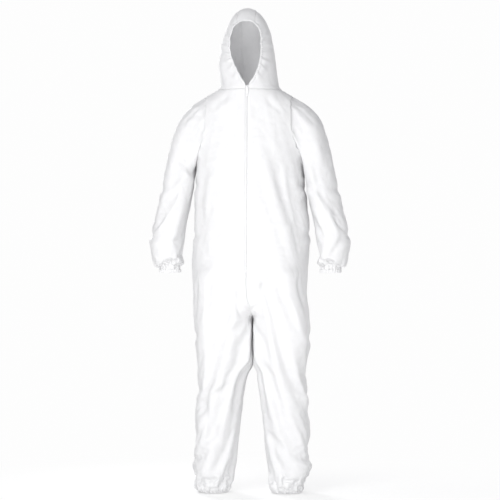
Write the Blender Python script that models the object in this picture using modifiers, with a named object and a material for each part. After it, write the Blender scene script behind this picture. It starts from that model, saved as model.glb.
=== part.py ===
"""Hooded protective coverall in its worn shape, facing -Y. Metres, +Z up.

The frame's origin is between the wearer's shoulders, where the coverall is held. Every height below is
counted from the ankle hems, and the empty "worn" brings them down to that origin. Left and right are
the wearer's: left is +X. Soft panels are thin shells cut from lofted forms, and the zip is built in its
own tilted frame. Sleeves and legs are separate bodies whose ends lie on a round
surface about their joint, so that they can turn without meeting the trunk.
"""

import math

import bmesh
import bpy
from mathutils import Matrix, Vector

# Driving dimensions
HEIGHT = 1.75
ORIGIN_HEIGHT = 1.40  # of the frame's origin over the hems
FABRIC = 0.002  # shell thickness: nonwoven with its seam allowances and loft
SEAM_GAP = 0.0006  # half the gap between two panels that are sewn together
NECK_Z = 1.447  # seam between hood and trunk
SQUARENESS = 2.3  # superellipse exponent of all cross-sections

# Zip line, straight, on the front centre
ZIP_TOP = Vector((0, -0.118, 1.459))
ZIP_BOTTOM = Vector((0, -0.150, 0.787))
ZIP_LENGTH = (ZIP_BOTTOM - ZIP_TOP).length
ZIP_TILT = math.atan2(ZIP_BOTTOM.y - ZIP_TOP.y, ZIP_TOP.z - ZIP_BOTTOM.z)
PANEL_EDGE_X = 0.0065  # where the front panels stop beside the zip

# Joints: the armhole and the sleeve's head are spheroids round the shoulder, flatter along Y
SHOULDER = Vector((0.190, 0, 1.310))
ARMHOLE_R = 0.110
ARMHOLE_DEPTH = 0.093
HEAD_GAP = 0.003
HIP = Vector((0.105, 0, 0.835))
NAPE = Vector((0, 0.088, NECK_Z + 0.0015))
HIP_R = 0.170
HIP_GAP = 0.002

# Elastics: band height and thickness, and their gap to the fabric
BAND_HEIGHT = 0.008
BAND = 0.001
BAND_GAP = 0.0006
BAND_LIFT = 0.002  # height of a band's lower edge above the hem
CORD_R = 0.0012
WAIST_Z = 1.02
WAIST_HALF_HEIGHT = 0.010
WAIST_REACH = 5  # ring points on each side of the back's middle

WHITE = (0.93, 0.93, 0.94)

# Points in each ring
TRUNK_COUNT = 32
LEG_COUNT = 20
HOOD_COUNT = 28

# Trunk stations: z, half width, front, back
TRUNK = (
    (0.600, 0.212, 0.140, 0.130),
    (0.700, 0.213, 0.147, 0.142),
    (0.787, 0.216, 0.150, 0.148),
    (0.940, 0.218, None, 0.150),
    (1.100, 0.209, None, 0.145),
    (1.200, 0.200, None, 0.148),
    (1.300, 0.200, None, 0.150),
    (1.360, 0.205, None, 0.140),
    (1.400, 0.190, None, 0.122),
    (1.425, 0.162, None, 0.106),
    (1.440, 0.128, None, 0.092),
    (NECK_Z, 0.106, None, 0.085),
)
# Leg stations: z, inner x, outer x, front, back
LEG = (
    (0.800, 0.008, 0.216, 0.150, 0.148),
    (0.700, 0.008, 0.214, 0.146, 0.142),
    (0.620, 0.008, 0.211, 0.136, 0.132),
    (0.500, 0.010, 0.203, 0.118, 0.122),
    (0.400, 0.018, 0.198, 0.106, 0.114),
    (0.300, 0.034, 0.203, 0.100, 0.110),
    (0.200, 0.046, 0.205, 0.098, 0.108),
    (0.100, 0.056, 0.210, 0.098, 0.108),
    (0.035, 0.059, 0.208, 0.094, 0.103),
    (0.012, 0.067, 0.200, 0.082, 0.090),
    (0.000, 0.079, 0.188, 0.066, 0.074),
)
# Hood stations: z, half width, front, back
HOOD = (
    (NECK_Z + 2.5 * SEAM_GAP, 0.106, 0.121, 0.085),
    (1.480, 0.103, 0.118, 0.092),
    (1.530, 0.100, 0.112, 0.106),
    (1.600, 0.094, 0.108, 0.118),
    (1.660, 0.081, 0.099, 0.110),
    (1.700, 0.064, 0.083, 0.090),
    (1.728, 0.043, 0.058, 0.062),
    (1.744, 0.021, 0.030, 0.032),
)
# Sleeve stations of the left sleeve in the XZ plane: outer x, outer z, inner x, inner z, half depth
SLEEVE = (
    (0.146, 1.4080, 0.146, 1.2120, 0.0820),
    (0.190, 1.4165, 0.190, 1.2040, 0.0900),
    (0.232, 1.3860, 0.198, 1.2045, 0.0900),
    (0.268, 1.3390, 0.204, 1.2040, 0.0900),
    (0.296, 1.2550, 0.212, 1.1850, 0.0880),
    (0.316, 1.1600, 0.218, 1.1200, 0.0850),
    (0.336, 1.0700, 0.224, 1.0400, 0.0820),
    (0.353, 0.9800, 0.230, 0.9550, 0.0800),
    (0.362, 0.9000, 0.238, 0.8750, 0.0760),
    (0.350, 0.8300, 0.243, 0.8250, 0.0620),
    (0.329, 0.8070, 0.254, 0.8070, 0.0420),
    (0.329, 0.7950, 0.254, 0.7950, 0.0420),
)
HEAD_STATIONS = 4  # of SLEEVE, inside the armhole
CUFF = SLEEVE[-1]

# Face opening: round over the forehead, tapering to a narrow chin
FACE_BOTTOM_Z = 1.459
FACE_TOP_Z = 1.693
FACE_HALF_WIDTH = 0.0555
FACE_WIDEST = 0.66  # share of its height at which it is widest
FACE_TAPER = 0.78  # below 1, so that the sides bow out a little on their way to the chin
FACE_ROUNDING = 2.3  # superellipse exponent over the forehead
FACE_END_HALF_WIDTH = 0.0035  # of the short level edges at forehead and chin
CROWN_HALF_WIDTH = 0.034
CROWN_FRONT_Z = FACE_TOP_Z - 0.010  # the strip's two front corners, beside the opening


def clear_scene():
    for obj in list(bpy.data.objects):
        bpy.data.objects.remove(obj)


def collection(name, hidden=False):
    made = bpy.data.collections.new(name)
    made.hide_render = hidden
    bpy.context.scene.collection.children.link(made)
    return made


def material(name, colour, roughness, metallic=0.0):
    made = bpy.data.materials.new(name)
    made.use_nodes = True
    shader = made.node_tree.nodes["Principled BSDF"]
    shader.inputs["Base Color"].default_value = (*colour, 1)
    shader.inputs["Roughness"].default_value = roughness
    shader.inputs["Metallic"].default_value = metallic
    return made


def empty(name, location, parent=None):
    """An empty that marks a frame or a joint's axis."""
    made = bpy.data.objects.new(name, None)
    PARTS.objects.link(made)
    made.location = location
    made.parent = parent
    return made


def add(name, mesh, where, surface=None, parent=None):
    """A new object. Its mesh is in the worn frame unless a parent gives another one."""
    obj = bpy.data.objects.new(name, mesh)
    where.objects.link(obj)
    if surface:
        mesh.materials.append(surface)
    obj.parent = parent or WORN
    return obj


def hang(obj, pivot):
    """Parent an object to its joint's empty without moving it."""
    obj.parent = pivot
    obj.matrix_parent_inverse = Matrix.Translation(-pivot.location)
    return obj


def mesh_from(name, build):
    """A mesh filled by build(bm), with its faces turned outwards."""
    bm = bmesh.new()
    build(bm)
    bmesh.ops.recalc_face_normals(bm, faces=bm.faces)
    mesh = bpy.data.meshes.new(name)
    bm.to_mesh(mesh)
    bm.free()
    return mesh


def block(name, low, high):
    """A box mesh between two corners."""
    low, high = Vector(low), Vector(high)
    place = Matrix.Translation((low + high) / 2) @ Matrix.Diagonal((*(high - low), 1))
    return mesh_from(name, lambda bm: bmesh.ops.create_cube(bm, size=1, matrix=place))


def curve_through(stations, z):
    """The stations' values at height z, on a smooth curve through them (Catmull-Rom by height)."""
    rows = sorted(stations)
    z = min(max(z, rows[0][0]), rows[-1][0])
    i = max(1, next(k for k, row in enumerate(rows) if z <= row[0]))
    before, low, high, after = rows[max(i - 2, 0)], rows[i - 1], rows[i], rows[min(i + 1, len(rows) - 1)]
    t = (z - low[0]) / (high[0] - low[0])
    values = []
    for k in range(1, len(low)):
        rise = high[0] - low[0]
        m0 = (high[k] - before[k]) / (high[0] - before[0]) * rise
        m1 = (after[k] - low[k]) / (after[0] - low[0]) * rise
        values.append(
            (2 * t**3 - 3 * t**2 + 1) * low[k]
            + (t**3 - 2 * t**2 + t) * m0
            + (3 * t**2 - 2 * t**3) * high[k]
            + (t**3 - t**2) * m1
        )
    return values


def zip_y(z):
    """The front surface's y on the zip line at height z."""
    share = (ZIP_TOP.z - z) / (ZIP_TOP.z - ZIP_BOTTOM.z)
    return ZIP_TOP.y + share * (ZIP_BOTTOM.y - ZIP_TOP.y)


def trunk_stations():
    """TRUNK with each open front depth taken from the zip line."""
    return [(z, a, -zip_y(z) if front is None else front, back) for z, a, front, back in TRUNK]


def power(value, exponent):
    return math.copysign(abs(value) ** exponent, value)


def ring(z, centre_x, half_width, front, back, count):
    """A horizontal superellipse, its first point at the front centre, running towards +X."""
    points = []
    for k in range(count):
        angle = 2 * math.pi * k / count
        across = power(math.sin(angle), 2 / SQUARENESS)
        along = power(-math.cos(angle), 2 / SQUARENESS)
        points.append((centre_x + half_width * across, along * (front if along < 0 else back), z))
    return points


def loft(name, rings):
    """An open tube through rings of equal count."""

    def build(bm):
        rows = [[bm.verts.new(p) for p in points] for points in rings]
        count = len(rows[0])
        for low, high in zip(rows, rows[1:]):
            for k in range(count):
                bm.faces.new((low[k], low[(k + 1) % count], high[(k + 1) % count], high[k]))

    return mesh_from(name, build)


def shell(obj, thickness=FABRIC, offset=-1.0):
    made = obj.modifiers.new("thickness", "SOLIDIFY")
    made.thickness = thickness
    made.offset = offset
    return obj


def boolean(obj, operation, cutter):
    made = obj.modifiers.new(f"{operation} {cutter.name}", "BOOLEAN")
    made.operation = operation
    made.object = cutter
    made.solver = "EXACT"
    return obj


def cutter(name, mesh):
    """A helper object that only shapes others."""
    obj = add(name, mesh, CUTTERS)
    obj.hide_render = True
    obj.display_type = "WIRE"
    return obj


def armhole_cutter(side, sign):
    """A spheroid round the shoulder, turned so that its rings lie round the Y axis."""
    place = Matrix.Translation((sign * SHOULDER.x, SHOULDER.y, SHOULDER.z))
    place @= Matrix.Diagonal((ARMHOLE_R, ARMHOLE_DEPTH, ARMHOLE_R, 1)) @ Matrix.Rotation(math.pi / 2, 4, "X")

    def build(bm):
        bmesh.ops.create_uvsphere(bm, u_segments=28, v_segments=16, radius=1, matrix=place)

    return cutter(f"armhole {side}", mesh_from("armhole", build))


def hip_cylinder(radius):
    """A cylinder round the hip axis, across both legs."""
    name = f"hip cylinder {radius:.3f}"
    place = Matrix.Translation((0, 0, HIP.z)) @ Matrix.Rotation(math.pi / 2, 4, "Y")

    def build(bm):
        bmesh.ops.create_cone(
            bm, cap_ends=True, segments=40, radius1=radius, radius2=radius, depth=0.6, matrix=place
        )

    return mesh_from(name, build)


def quarter(name, left, front, inner_x=SEAM_GAP, low_z=-0.1):
    """A box cutter round one quarter of the garment, seen from above."""
    xs = (inner_x, 0.6) if left else (-0.6, -inner_x)
    ys = (-0.4, -SEAM_GAP) if front else (SEAM_GAP, 0.4)
    return cutter(name, block(name, (xs[0], ys[0], low_z), (xs[1], ys[1], 2.0)))


def zip_slot():
    """Cuts the front panels back on both sides of the zip."""
    low, high = (-PANEL_EDGE_X, -0.3, ZIP_BOTTOM.z - 0.0015), (PANEL_EDGE_X, -0.02, 2.0)
    return cutter("zip slot", block("zip slot", low, high))


def make_trunk(parts, fabric):
    stations = trunk_stations()
    heights = (0.62, 0.70, ZIP_BOTTOM.z, 0.90, 1.02, 1.14, 1.24, 1.32, 1.375, 1.408, 1.430, NECK_Z)
    rings = []
    for z in heights:
        half_width, front, back = curve_through(stations, z)
        if z > ZIP_BOTTOM.z:
            front = -zip_y(z)
        rings.append(ring(z, 0, half_width, front, back, TRUNK_COUNT))
    form = loft("trunk form", rings)
    hip_keep = cutter("below hip", block("below hip", (-0.6, -0.4, 0.4), (0.6, 0.4, HIP.z)))
    boolean(hip_keep, "DIFFERENCE", cutter("hip core", hip_cylinder(HIP_R)))
    slot = zip_slot()
    for side, sign in (("left", 1), ("right", -1)):
        armhole = armhole_cutter(side, sign)
        for face in ("front", "back"):
            panel = shell(add(f"body_{face}_{side}", form.copy(), parts, fabric))
            boolean(panel, "INTERSECT", quarter(f"trunk quarter {face} {side}", sign > 0, face == "front"))
            boolean(panel, "DIFFERENCE", armhole)
            boolean(panel, "DIFFERENCE", hip_keep)
            if face == "front":
                boolean(panel, "DIFFERENCE", slot)


GUSSET_HALF_WIDTH = 0.060
GUSSET_NARROWING = 0.35  # how much narrower it is at its front and back ends
GUSSET_RADIUS = HIP_R - 0.0045
GUSSET_REACH = math.radians(56.5)  # each way round the hip axis
GUSSET_STEPS = 6  # each way


def make_gusset(parts, fabric):
    """A strip under the crotch, bent round the hip axis just inside the legs' ends."""

    def build(bm):
        rows = []
        for k in range(-GUSSET_STEPS, GUSSET_STEPS + 1):
            share = k / GUSSET_STEPS
            angle = GUSSET_REACH * share
            y = GUSSET_RADIUS * math.sin(angle)
            z = HIP.z - GUSSET_RADIUS * math.cos(angle)
            width = GUSSET_HALF_WIDTH * (1 - GUSSET_NARROWING * share**2)
            rows.append([bm.verts.new((s * width, y, z)) for s in (-1, 1)])
        for a, b in zip(rows, rows[1:]):
            bm.faces.new((a[0], a[1], b[1], b[0]))

    shell(add("crotch_gusset", mesh_from("crotch_gusset", build), parts, fabric))


def leg_ring(z, sign, grow=0.0):
    inner, outer, front, back = curve_through(LEG, z)
    half_width = (outer - inner) / 2 + grow
    return ring(z, sign * (inner + outer) / 2, half_width, front + grow, back + grow, LEG_COUNT)


def make_legs(parts, fabric, rubber):
    heights = (0.79, 0.70, 0.60, 0.48, 0.36, 0.22, 0.09, 0.035, 0.012, 0.0)
    hip_clear = cutter("hip clearance", hip_cylinder(HIP_R + HIP_GAP))
    for side, sign in (("left", 1), ("right", -1)):
        pivot = empty(f"hip {side}", (sign * HIP.x, HIP.y, HIP.z), WORN)
        form = loft(f"leg form {side}", [leg_ring(z, sign) for z in heights])
        for face in ("front", "back"):
            panel = hang(shell(add(f"leg_{face}_{side}", form.copy(), parts, fabric)), pivot)
            boolean(panel, "INTERSECT", quarter(f"leg quarter {face} {side}", sign > 0, face == "front"))
            boolean(panel, "DIFFERENCE", hip_clear)
        rim = [(x, y, BAND_LIFT) for x, y, _ in leg_ring(0, sign, -(FABRIC + BAND_GAP))]
        hang(add_band(f"ankle_elastic_{side}", rim, parts, rubber), pivot)


def add_band(name, rim, parts, rubber):
    """An upright elastic band on a rim."""
    top = [(x, y, z + BAND_HEIGHT) for x, y, z in rim]
    return shell(add(name, loft(name, [rim, top]), parts, rubber), BAND)


def sleeve_ring(station, sign, grow=0.0, count=18):
    """A superellipse square to the sleeve's path, from its outer to its inner point."""
    outer_x, outer_z, inner_x, inner_z, depth = station
    outer, inner = Vector((outer_x, 0, outer_z)), Vector((inner_x, 0, inner_z))
    centre, across = (outer + inner) / 2, (outer - inner) / 2
    across = across * (1 + grow / across.length)
    points = []
    for k in range(count):
        angle = 2 * math.pi * k / count
        p = centre + across * power(math.cos(angle), 2 / SQUARENESS)
        points.append((sign * p.x, (depth + grow) * power(math.sin(angle), 2 / SQUARENESS), p.z))
    return points


def round_head(station, sign):
    """A sleeve ring pulled in to the spheroid that turns in the armhole."""
    centre = Vector((sign * SHOULDER.x, 0, SHOULDER.z))
    reach, depth = ARMHOLE_R - HEAD_GAP, ARMHOLE_DEPTH - HEAD_GAP
    points = []
    for p in sleeve_ring(station, sign):
        arm = Vector(p) - centre
        share = Vector((arm.x / reach, arm.y / depth, arm.z / reach)).length
        points.append(centre + arm / max(share, 1.0))
    return points


def make_sleeves(parts, fabric, rubber):
    for side, sign in (("left", 1), ("right", -1)):
        pivot = empty(f"shoulder {side}", (sign * SHOULDER.x, SHOULDER.y, SHOULDER.z), WORN)
        rings = [round_head(s, sign) for s in SLEEVE[:HEAD_STATIONS]]
        rings += [sleeve_ring(s, sign) for s in SLEEVE[HEAD_STATIONS:]]
        form = loft(f"sleeve form {side}", rings)
        for face in ("front", "back"):
            panel = hang(shell(add(f"sleeve_{face}_{side}", form.copy(), parts, fabric)), pivot)
            boolean(panel, "INTERSECT", quarter(f"sleeve quarter {face} {side}", sign > 0, face == "front"))
        rim = [(x, y, z + BAND_LIFT) for x, y, z in sleeve_ring(CUFF, sign, -(FABRIC + BAND_GAP))]
        hang(add_band(f"cuff_elastic_{side}", rim, parts, rubber), pivot)


def face_half_width(z, grow=0.0):
    """Half the face opening's width at height z."""
    share = (z - FACE_BOTTOM_Z) / (FACE_TOP_Z - FACE_BOTTOM_Z)
    share = min(max(share, 0.0), 1.0)
    if share < FACE_WIDEST:
        width = math.sin(math.pi / 2 * (share / FACE_WIDEST) ** FACE_TAPER)
    else:
        above = (share - FACE_WIDEST) / (1 - FACE_WIDEST)
        width = (1 - above**FACE_ROUNDING) ** (1 / FACE_ROUNDING)
    return max(FACE_HALF_WIDTH * width, FACE_END_HALF_WIDTH) + grow


def face_outline(grow=0.0, count=12):
    """Points (x, z) round the opening, from the chin up the left side and down the right to the chin."""
    heights = []
    for k in range(count + 1):
        share = (1 - math.cos(math.pi * k / count)) / 2
        heights.append(FACE_BOTTOM_Z - grow + share * (FACE_TOP_Z - FACE_BOTTOM_Z + 2 * grow))
    left = [(face_half_width(z, grow), z) for z in heights]
    return left + [(-x, z) for x, z in reversed(left)]


def hood_front_y(x, z):
    """The hood's outer surface in front, at (x, z)."""
    half_width, front, _ = curve_through(HOOD, z)
    share = min(abs(x) / half_width, 1.0)
    return -front * (1 - share**SQUARENESS) ** (1 / SQUARENESS)


def hood_inside(x, z, depth):
    """A point the given depth behind the hood's outer surface, square to it."""
    step = 0.002
    y = hood_front_y(x, z)
    slope_x = (hood_front_y(x + step, z) - hood_front_y(x - step, z)) / (2 * step)
    slope_z = (hood_front_y(x, z + step) - hood_front_y(x, z - step)) / (2 * step)
    return Vector((x, y, z)) + Vector((-slope_x, 1, -slope_z)).normalized() * depth


HOOD_LEVELS = (HOOD[0][0], 1.50, 1.56, 1.62, 1.67, 1.705, 1.730, HOOD[-1][0])
HOOD_TIP_SHARE = 0.35  # size of the level patch on top, as a share of the topmost ring


def hood_form():
    """The hood's open-bottomed outer surface."""
    rings = []
    for z in HOOD_LEVELS:
        half_width, front, back = curve_through(HOOD, z)
        rings.append(ring(z, 0, half_width, front, back, HOOD_COUNT))
    tip = [(HOOD_TIP_SHARE * x, HOOD_TIP_SHARE * y, HEIGHT) for x, y, _ in rings[-1]]
    tube = loft("hood tube", rings + [tip])

    def close_top(bm):
        bm.from_mesh(tube)
        rim = [e for e in bm.edges if e.is_boundary and e.verts[0].co.z > HEIGHT - 1e-4]
        bmesh.ops.holes_fill(bm, edges=rim)

    return mesh_from("hood form", close_top)


def face_prism(bm):
    """The face opening's outline, pushed through the hood's front."""
    near = [bm.verts.new((x, -0.3, z)) for x, z in face_outline()]
    far = [bm.verts.new((x, -0.005, z)) for x, z in face_outline()]
    bm.faces.new(near)
    bm.faces.new(far)
    for k in range(len(near)):
        j = (k + 1) % len(near)
        bm.faces.new((near[k], near[j], far[j], far[k]))


def make_hood(parts, fabric, rubber):
    form = hood_form()
    nape = empty("nape", NAPE, WORN)
    opening = cutter("face opening", mesh_from("face opening", face_prism))
    chin_top = FACE_BOTTOM_Z + 0.02
    chin = cutter("chin gap", block("chin gap", (-PANEL_EDGE_X, -0.3, 1.40), (PANEL_EDGE_X, -0.02, chin_top)))
    # The strip runs from the forehead over the crown to the nape; below the face the sides meet at the zip.
    strip_x = CROWN_HALF_WIDTH - SEAM_GAP
    strip = cutter("crown strip", block("crown strip", (-strip_x, -0.4, 1.3), (strip_x, 0.4, 1.9)))
    below = block("below face", (-0.2, -0.5, 1.2), (0.2, -0.02, CROWN_FRONT_Z))
    boolean(strip, "DIFFERENCE", cutter("below face", below))
    regions = {"hood_crown_strip": strip}
    for side, sign in (("left", 1), ("right", -1)):
        xs = sorted((sign * (CROWN_HALF_WIDTH + SEAM_GAP), sign * 0.4))
        region = cutter(f"hood side {side}", block("hood side", (xs[0], -0.4, 1.3), (xs[1], 0.4, 1.9)))
        xs = sorted((sign * SEAM_GAP, sign * 0.39))
        cheek = block("cheek", (xs[0], -0.39, 1.35), (xs[1], -0.021, CROWN_FRONT_Z - 2 * SEAM_GAP))
        regions[f"hood_side_{side}"] = boolean(region, "UNION", cutter(f"cheek {side}", cheek))
    for name, region in regions.items():
        panel = hang(shell(add(name, form.copy(), parts, fabric)), nape)
        boolean(panel, "DIFFERENCE", opening)
        boolean(panel, "INTERSECT", region)
        boolean(panel, "DIFFERENCE", chin)
    hang(add_face_elastic(parts, rubber), nape)


FACE_ELASTIC_CLEARANCE = 0.0022  # more than a straight band needs, because the hood's inside is faceted


def add_face_elastic(parts, rubber):
    """An elastic cord just inside the hood, round the face opening from one side of the zip to the other."""
    depth = FABRIC + BAND_GAP + CORD_R + FACE_ELASTIC_CLEARANCE
    points = [hood_inside(x, z, depth) for x, z in face_outline(grow=0.006, count=14)[2:-2]]
    curve = bpy.data.curves.new("face_elastic", "CURVE")
    curve.dimensions = "3D"
    curve.bevel_depth = CORD_R
    curve.bevel_resolution = 1
    curve.use_fill_caps = True
    spline = curve.splines.new("POLY")
    spline.points.add(len(points) - 1)
    for target, p in zip(spline.points, points):
        target.co = (*p, 1)
    return add("face_elastic", curve, parts, rubber)


def make_waist_elastic(parts, rubber):
    """A band sewn inside the back of the waist."""
    stations = trunk_stations()
    inset = FABRIC + 2 * BAND_GAP + BAND / 2
    middle, reach = TRUNK_COUNT // 2, WAIST_REACH

    def build(bm):
        rows = []
        for z in (WAIST_Z - WAIST_HALF_HEIGHT, WAIST_Z + WAIST_HALF_HEIGHT):
            half_width, front, back = curve_through(stations, z)
            points = ring(z, 0, half_width - inset, front - inset, back - inset, TRUNK_COUNT)
            rows.append([bm.verts.new(p) for p in points[middle - reach : middle + reach + 1]])
        for k in range(2 * reach):
            bm.faces.new((rows[0][k], rows[0][k + 1], rows[1][k + 1], rows[1][k]))

    shell(add("waist_elastic", mesh_from("waist_elastic", build), parts, rubber), BAND, offset=0.0)


def union_of(name, meshes):
    """One mesh from overlapping ones."""
    base = cutter(f"{name} base", meshes[0])
    for k, mesh in enumerate(meshes[1:]):
        boolean(base, "UNION", cutter(f"{name} {k}", mesh))
    bpy.context.view_layer.update()
    graph = bpy.context.evaluated_depsgraph_get()
    return bpy.data.meshes.new_from_object(base.evaluated_get(graph))


def bar_along_x(name, centre, radius, half_length, segments=12):
    place = Matrix.Translation(centre) @ Matrix.Rotation(math.pi / 2, 4, "Y")
    size = {"radius1": radius, "radius2": radius, "depth": 2 * half_length}

    def build(bm):
        bmesh.ops.create_cone(bm, cap_ends=True, segments=segments, matrix=place, **size)

    return mesh_from(name, build)


# Zip parts, in the zip's frame: origin at its top, -Z down the chain, -Y outwards, panel face at y = 0
COIL_X = (0.0006, 0.0028)
COIL_Y = (0.0025, 0.0051)
TAPE_X = (0.0031, 0.0165)
TAPE_Y = (0.0034, 0.0042)
CHAIN_TOP = -0.0045
CHAIN_BOTTOM = -(ZIP_LENGTH - 0.006)
SLIDER_TOP = -0.0050
SLIDER_LENGTH = 0.015
SLIDER_HALF_WIDTH = 0.005
PIN = Vector((0, -0.0040, SLIDER_TOP - 0.0045))
PIN_R = 0.0007
PULL_LENGTH = 0.030


def both_sides(x_range, y_range, z_range):
    """Box corners for +X and -X."""
    for side, sign in (("left", 1), ("right", -1)):
        xs = sorted(sign * x for x in x_range)
        yield side, (xs[0], y_range[0], z_range[0]), (xs[1], y_range[1], z_range[1])


def make_slider():
    """Two plates with lips round the coils, a thin diamond between them, and two ears with a pin."""
    w, top, bottom = SLIDER_HALF_WIDTH, SLIDER_TOP, SLIDER_TOP - SLIDER_LENGTH
    meshes = [
        block("front plate", (-w, -0.0012, bottom), (w, 0.0020, top)),
        block("back plate", (-w, 0.0056, bottom), (w, 0.0070, top)),
        block("diamond", (-0.0003, 0.0018, top - 0.0050), (0.0003, 0.0058, top)),
    ]
    for _, low, high in both_sides((0.0036, w), (0.0018, 0.0029), (bottom, top)):
        meshes.append(block("front lip", low, high))
    for _, low, high in both_sides((0.0036, w), (0.0047, 0.0058), (bottom, top)):
        meshes.append(block("back lip", low, high))
    ears = both_sides((0.0021, 0.0033), (PIN.y - 0.0014, -0.0010), (PIN.z - 0.0016, PIN.z + 0.0016))
    for _, low, high in ears:
        meshes.append(block("ear", low, high))
    meshes.append(bar_along_x("pin", PIN, PIN_R, 0.0027))
    return union_of("zip_slider", meshes)


def make_pull():
    """An eye round the pin and a flat grip with a hole near its end. Its origin is on the pin."""
    half_eye, half_grip, thick = 0.0017, 0.0042, 0.0008
    eye = bar_along_x("eye", (0, 0, 0), 0.0020, half_eye, 16)
    neck = block("neck", (-half_eye, -thick, -0.0085), (half_eye, thick, -0.0012))
    grip = block("grip", (-half_grip, -thick, -PULL_LENGTH), (half_grip, thick, -0.0080))
    pull = union_of("zip_pull", [eye, neck, grip])
    body = cutter("zip_pull body", pull)
    boolean(body, "DIFFERENCE", cutter("pin bore", bar_along_x("pin bore", (0, 0, 0), 0.0011, 0.01, 16)))
    slot = block("grip slot", (-0.0018, -0.01, -PULL_LENGTH + 0.0030), (0.0018, 0.01, -PULL_LENGTH + 0.0110))
    boolean(body, "DIFFERENCE", cutter("grip slot", slot))
    bpy.context.view_layer.update()
    graph = bpy.context.evaluated_depsgraph_get()
    return bpy.data.meshes.new_from_object(body.evaluated_get(graph))


def make_zip(parts, tape, coil, metal):
    frame = empty("zip frame", ZIP_TOP, WORN)
    frame.rotation_euler = (ZIP_TILT, 0, 0)
    for side, low, high in both_sides(TAPE_X, TAPE_Y, (-ZIP_LENGTH, 0)):
        add(f"zip_tape_{side}", block("zip tape", low, high), parts, tape, frame)
    for side, low, high in both_sides(COIL_X, COIL_Y, (CHAIN_BOTTOM, CHAIN_TOP)):
        add(f"zip_coil_{side}", block("zip coil", low, high), parts, coil, frame)
    for side, low, high in both_sides((0.0008, 0.0028), (0.0022, 0.0054), (CHAIN_TOP + 0.0004, -0.0005)):
        add(f"zip_top_stop_{side}", block("zip top stop", low, high), parts, metal, frame)
    low, high = (-0.0028, 0.0022, 0.0008 - ZIP_LENGTH), (0.0028, 0.0054, CHAIN_BOTTOM - 0.0004)
    add("zip_bottom_stop", block("zip bottom stop", low, high), parts, metal, frame)
    add("zip_slider", make_slider(), parts, metal, frame)
    pull = add("zip_pull", make_pull(), parts, metal, frame)
    pull.location = PIN


clear_scene()
PARTS = collection("protective coverall")
CUTTERS = collection("cutters", hidden=True)
WORN = empty("worn", (0, 0, -ORIGIN_HEIGHT))
FABRIC_MAT = material("nonwoven_fabric", WHITE, 0.75)
ELASTIC_MAT = material("elastic", (0.90, 0.90, 0.89), 0.85)
TAPE_MAT = material("zip_tape", (0.91, 0.92, 0.92), 0.80)
COIL_MAT = material("zip_coil", (0.88, 0.90, 0.90), 0.40)
METAL_MAT = material("zip_metal", (0.86, 0.87, 0.87), 0.35)
make_trunk(PARTS, FABRIC_MAT)
make_gusset(PARTS, FABRIC_MAT)
make_legs(PARTS, FABRIC_MAT, ELASTIC_MAT)
make_sleeves(PARTS, FABRIC_MAT, ELASTIC_MAT)
make_hood(PARTS, FABRIC_MAT, ELASTIC_MAT)
make_waist_elastic(PARTS, ELASTIC_MAT)
make_zip(PARTS, TAPE_MAT, COIL_MAT, METAL_MAT)
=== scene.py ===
"""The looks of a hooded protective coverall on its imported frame.

The whole garment is first one closed form, draped over a smaller figure by cloth simulation. It is then cut
along its sewing pattern into panels, refined, creased and gathered, and each panel gets its thickness.
Heights in the tables are metres above the ankle hems.
"""
import itertools
import math

import bmesh
import bpy
import numpy as np
from mathutils import Matrix, Vector
from mathutils.bvhtree import BVHTree


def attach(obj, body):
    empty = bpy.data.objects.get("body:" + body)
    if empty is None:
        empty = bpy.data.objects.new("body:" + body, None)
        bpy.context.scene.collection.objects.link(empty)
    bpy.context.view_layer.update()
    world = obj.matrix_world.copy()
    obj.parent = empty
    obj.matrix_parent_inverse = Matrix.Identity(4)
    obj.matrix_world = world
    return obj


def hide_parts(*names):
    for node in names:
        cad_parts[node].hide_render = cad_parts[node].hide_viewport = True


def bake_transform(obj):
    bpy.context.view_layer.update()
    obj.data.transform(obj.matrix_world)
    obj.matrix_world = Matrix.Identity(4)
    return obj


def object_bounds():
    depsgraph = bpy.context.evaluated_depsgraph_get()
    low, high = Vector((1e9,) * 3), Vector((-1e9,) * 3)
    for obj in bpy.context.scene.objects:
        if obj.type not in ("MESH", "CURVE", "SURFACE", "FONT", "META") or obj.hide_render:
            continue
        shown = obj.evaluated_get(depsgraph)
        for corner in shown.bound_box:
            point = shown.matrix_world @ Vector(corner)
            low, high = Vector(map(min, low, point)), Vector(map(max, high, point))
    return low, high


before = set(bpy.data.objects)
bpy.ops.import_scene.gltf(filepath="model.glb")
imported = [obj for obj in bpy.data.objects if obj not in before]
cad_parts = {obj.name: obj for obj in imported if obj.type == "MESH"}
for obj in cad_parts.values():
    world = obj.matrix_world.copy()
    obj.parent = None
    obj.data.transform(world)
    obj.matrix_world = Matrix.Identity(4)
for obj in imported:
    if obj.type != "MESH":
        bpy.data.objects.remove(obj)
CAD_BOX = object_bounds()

GROUND = CAD_BOX[0][2]  # height of the ankle hems
SQUARENESS = 2.3  # superellipse exponent of all cross-sections
SIDES = (("left", 1), ("right", -1))

# ---------------------------------------------------------------- shape tables, close to the CAD model's

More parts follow.
